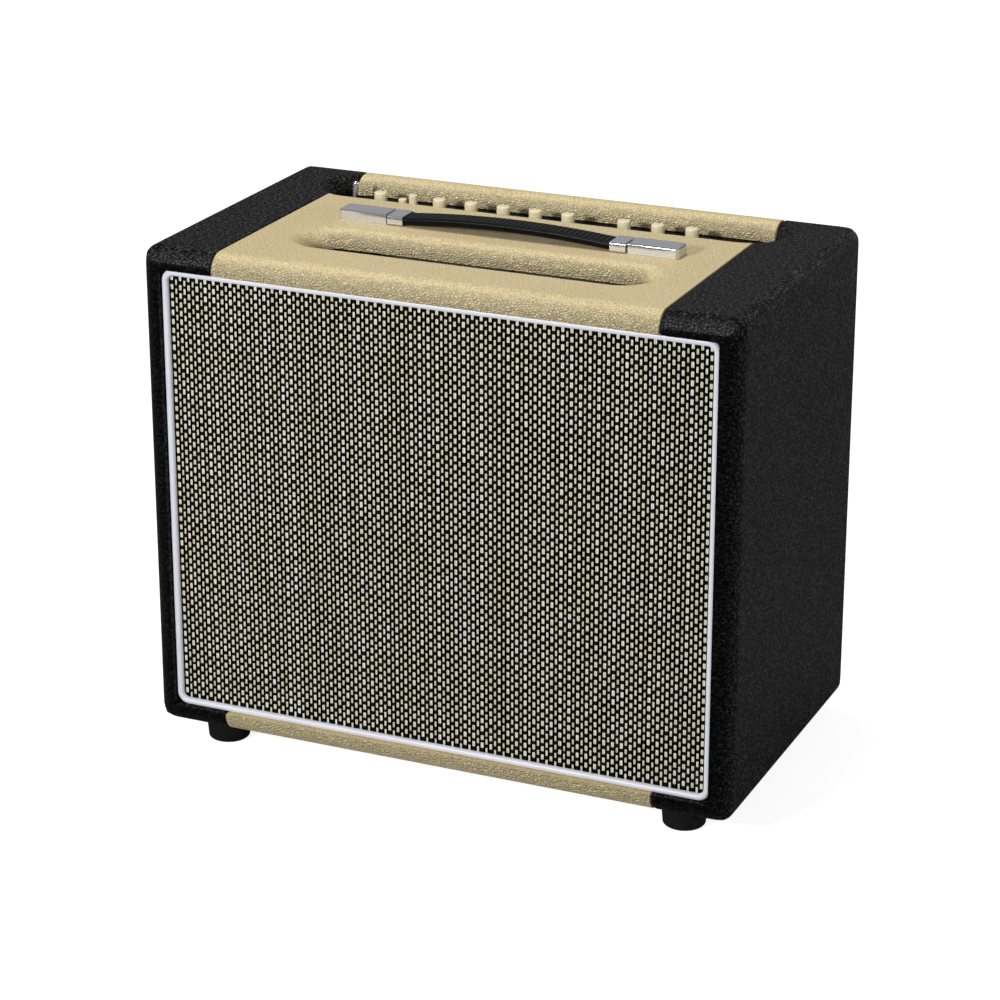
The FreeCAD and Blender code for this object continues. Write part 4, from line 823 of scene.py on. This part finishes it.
def knob(index):
    name = "knob_%d" % index
    body = "control_%d" % index
    low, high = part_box(name)
    x = (low.x + high.x) / 2
    y = (low.y + high.y) / 2
    radius = (high.x - low.x) / 2
    bottom = high.z - knobSizes["body"]
    around = knobSizes["flutes"] * 8
    bm = bmesh.new()
    profile = [(0.0, bottom)]
    profile += [(radius - inset, bottom + up) for inset, up in knobSizes["foot"]]
    profile += [(radius - inset, high.z - down) for inset, down in knobSizes["rim"]]
    profile.append((0.0, high.z - knobSizes["dish"]))
    rings = []
    for level, (r, z) in enumerate(profile):
        if r == 0.0:
            rings.append([bm.verts.new((x, y, z))])
            continue
        ring = []
        for k in range(around):
            a = 2 * math.pi * k / around
            wave = 0.5 + 0.5 * math.cos(knobSizes["flutes"] * a)
            cut = knobSizes["fluteDepth"] * (1 - wave ** 2) if 2 <= level <= 5 else 0.0
            ring.append(bm.verts.new((x + (r - cut) * math.cos(a), y + (r - cut) * math.sin(a), z)))
        rings.append(ring)
    for a, b in zip(rings, rings[1:]):
        for k in range(around):
            n = (k + 1) % around
            if len(a) == 1:
                bm.faces.new((a[0], b[n], b[k]))
            elif len(b) == 1:
                bm.faces.new((a[k], a[n], b[0]))
            else:
                bm.faces.new((a[k], a[n], b[n], b[k]))
    bmesh.ops.recalc_face_normals(bm, faces=bm.faces)
    obj = asObject(name + "_moulded", bm, "creamKnob", body, 50.0, (name,))
    # the dark pointer set into the rim
    bm = bmesh.new()
    spot = Matrix.Translation((x, y + radius - knobSizes["markInset"], high.z - knobSizes["markDepth"]))
    size = Matrix.Diagonal((knobSizes["markWidth"], knobSizes["markLength"], knobSizes["markHeight"], 1.0))
    bmesh.ops.create_cube(bm, size=1.0, matrix=spot @ size)
    bmesh.ops.bevel(bm, geom=bm.edges[:], offset=knobSizes["markRound"], segments=1, affect="EDGES")
    mark = asObject(name + "_pointer", bm, "blackPlate", body)
    # the steel shaft below, up into the knob
    bm = bmesh.new()
    thick = knobSizes["shaft"]
    top = bottom + knobSizes["overlap"]
    bmesh.ops.create_cone(bm, cap_ends=True, segments=32, radius1=thick, radius2=thick, depth=top - low.z,
                          matrix=Matrix.Translation((x, y, (top + low.z) / 2)))
    shaft = asObject(name + "_shaft", bm, "screwSteel", body)


def controls():
    for index in range(1, 10):
        knob(index)
    dress("button_in", "creamKnob", 0.0003, "pressed_button")
    dress("button_out", "creamKnob", 0.0003, "raised_button")
    dress("toggle_lever", "chrome", 0.0002, "toggle", 55.0)
    dress("panel_components", "blackPaint", 0.0002)
    dress("jacks", "blackPaint", 0.0004)
    dress("control_panel", "blackPlate", 0.0003)


controls()
print("controls made")


bareNodes = {  # nodes that keep their shape and get a finish
    "paintedPly": ("baffle_board", "battens", "grille_frame"),
    "blackPaint": ("mains_inlet", "mains_rocker"),
    "zincSteel": ("chassis_base",)}
feet = ("foot_front_left", "foot_front_right", "foot_rear_left", "foot_rear_right")
backBoards = ("lower_back_panel", "upper_back_panel")
easing = dict(foot=0.0006, board=0.0015, small=0.0004, cone=0.0002)
smallParts = (  # nodes with a slightly eased edge
    ("wood_screws", "screwSteel"), ("handle_screws", "screwSteel"), ("speaker_bolts", "screwSteel"),
    ("speaker_basket", "blackPaint"), ("speaker_gasket", "gasketFoam"), ("speaker_surround", "conePaper"),
    ("speaker_spider", "spiderCloth"), ("speaker_magnet", "ferrite"), ("speaker_pole_plates", "zincSteel"),
    ("transformers", "blackPaint"), ("tube_sockets", "ceramic"), ("vacuum_tubes", "tubeGlass"))
coneParts = (
    ("speaker_cone", "conePaper"), ("speaker_dust_cap", "dustCloth"), ("speaker_voice_coil", "copperWire"))


def carryOver():
    for finish, names in bareNodes.items():
        for name in names:
            data = nodes[name].data
            data.materials.clear()
            data.materials.append(finishes[finish])
    for name in feet:
        dress(name, "footRubber", easing["foot"], segments=3)
    for name in backBoards:
        dress(name, "boardVinyl", easing["board"], segments=4)
    dress("vent_grille", "blackPaint", 0.0003)
    dress("chassis", "zincSteel", 0.0006)
    for name, finish in smallParts:
        dress(name, finish, easing["small"])
    for name, finish in coneParts:
        dress(name, finish, easing["cone"], "cone")


carryOver()
print("frame dressed")


stageLook = dict(
    lens=112.5, spot=(0.999, -2.273, 1.144), tilt=69.37, turn=23.83,
    floorSize=60.0, floorDrop=0.0005, glowNear=1.2, glowFar=4.0, glowLow=0.875, glowHigh=1.0,
    fill=(0.93, 0.96, 1.0, 1), fillStrength=0.12,
    lamps=(  # name, place, aim, size and power
        ("overhead", (-0.1, 0.1, 2.2), (0.0, 0.0, 0.3), 0.5, 16.0),
        ("frontLeft", (-1.0, -3.1, 1.6), (0.0, 0.0, 0.25), 0.4, 81.0),
        ("backCard", (-1.1, 3.0, 1.9), (0.0, 0.0, 0.35), 2.4, 3.5),
        ("backLow", (0.15, 3.2, 0.3), (0.0, 0.1, 0.25), 0.5, 26.0),
        ("rightSide", (3.0, -0.4, 1.3), (0.0, 0.0, 0.25), 0.8, 18.0)))
white = (1, 1, 1, 1)


def stageCamera():
    data = bpy.data.cameras.new("camera")
    data.lens = stageLook["lens"]
    data.sensor_width = 36.0
    data.clip_end = 50.0
    camera = bpy.data.objects.new("camera", data)
    camera.location = stageLook["spot"]
    camera.rotation_euler = (math.radians(stageLook["tilt"]), 0.0, math.radians(stageLook["turn"]))
    bpy.context.scene.collection.objects.link(camera)
    bpy.context.scene.camera = camera


def stageFloor():
    # a grey floor that takes the shadow and that the camera sees almost white, whiter further off
    bpy.ops.mesh.primitive_plane_add(size=stageLook["floorSize"], location=(0, 0, -stageLook["floorDrop"]))
    floor = bpy.context.object
    floor.name = "floor"
    paint = Finish("floorPaint", (188, 188, 188), 1.0, **{"Specular IOR Level": 0.0})
    paint.setInputs(Base_Color=(0.5, 0.5, 0.5, 1))
    away = paint.node("ShaderNodeVectorMath", {"operation": "LENGTH"}, {0: paint.where()}, out="Value")
    strength = paint.node("ShaderNodeMapRange", {}, {
        "Value": away, "From Min": stageLook["glowNear"], "From Max": stageLook["glowFar"],
        "To Min": stageLook["glowLow"], "To Max": stageLook["glowHigh"]})
    glow = paint.node("ShaderNodeEmission", {}, {"Color": white, "Strength": strength})
    both = paint.node("ShaderNodeAddShader", {}, {0: paint.base, 1: glow})
    seen = paint.node("ShaderNodeLightPath", out="Is Camera Ray")
    paint.show(paint.node("ShaderNodeMixShader", {}, {0: seen, 1: paint.base, 2: both}))
    floor.data.materials.append(paint.material)


def stageWorld():
    # white where the camera sees it, a weak cool fill for everything else
    world = bpy.data.worlds.new("studio")
    world.use_nodes = True
    sky = Graph(world.node_tree)
    back = sky.tree.nodes["Background"]
    sky.put(back, {"Color": white, "Strength": 1.0})
    fill = sky.node("ShaderNodeBackground", {},
                    {"Color": stageLook["fill"], "Strength": stageLook["fillStrength"]})
    seen = sky.node("ShaderNodeLightPath", out="Is Camera Ray")
    mixed = sky.node("ShaderNodeMixShader", {}, {0: seen, 1: fill, 2: Field(sky, back.outputs[0])})
    sky.show(mixed, "World Output")
    bpy.context.scene.world = world


def stageLamps():
    for name, spot, target, size, power in stageLook["lamps"]:
        lamp = bpy.data.lights.new(name, "AREA")
        lamp.shape = "SQUARE"
        lamp.size = size
        lamp.energy = power
        obj = bpy.data.objects.new(name, lamp)
        obj.location = spot
        obj.rotation_euler = (Vector(target) - Vector(spot)).to_track_quat("-Z", "Y").to_euler()
        bpy.context.scene.collection.objects.link(obj)


stageCamera()
stageFloor()
stageWorld()
stageLamps()
bpy.context.scene.view_settings.view_transform = "Standard"
print("stage set")
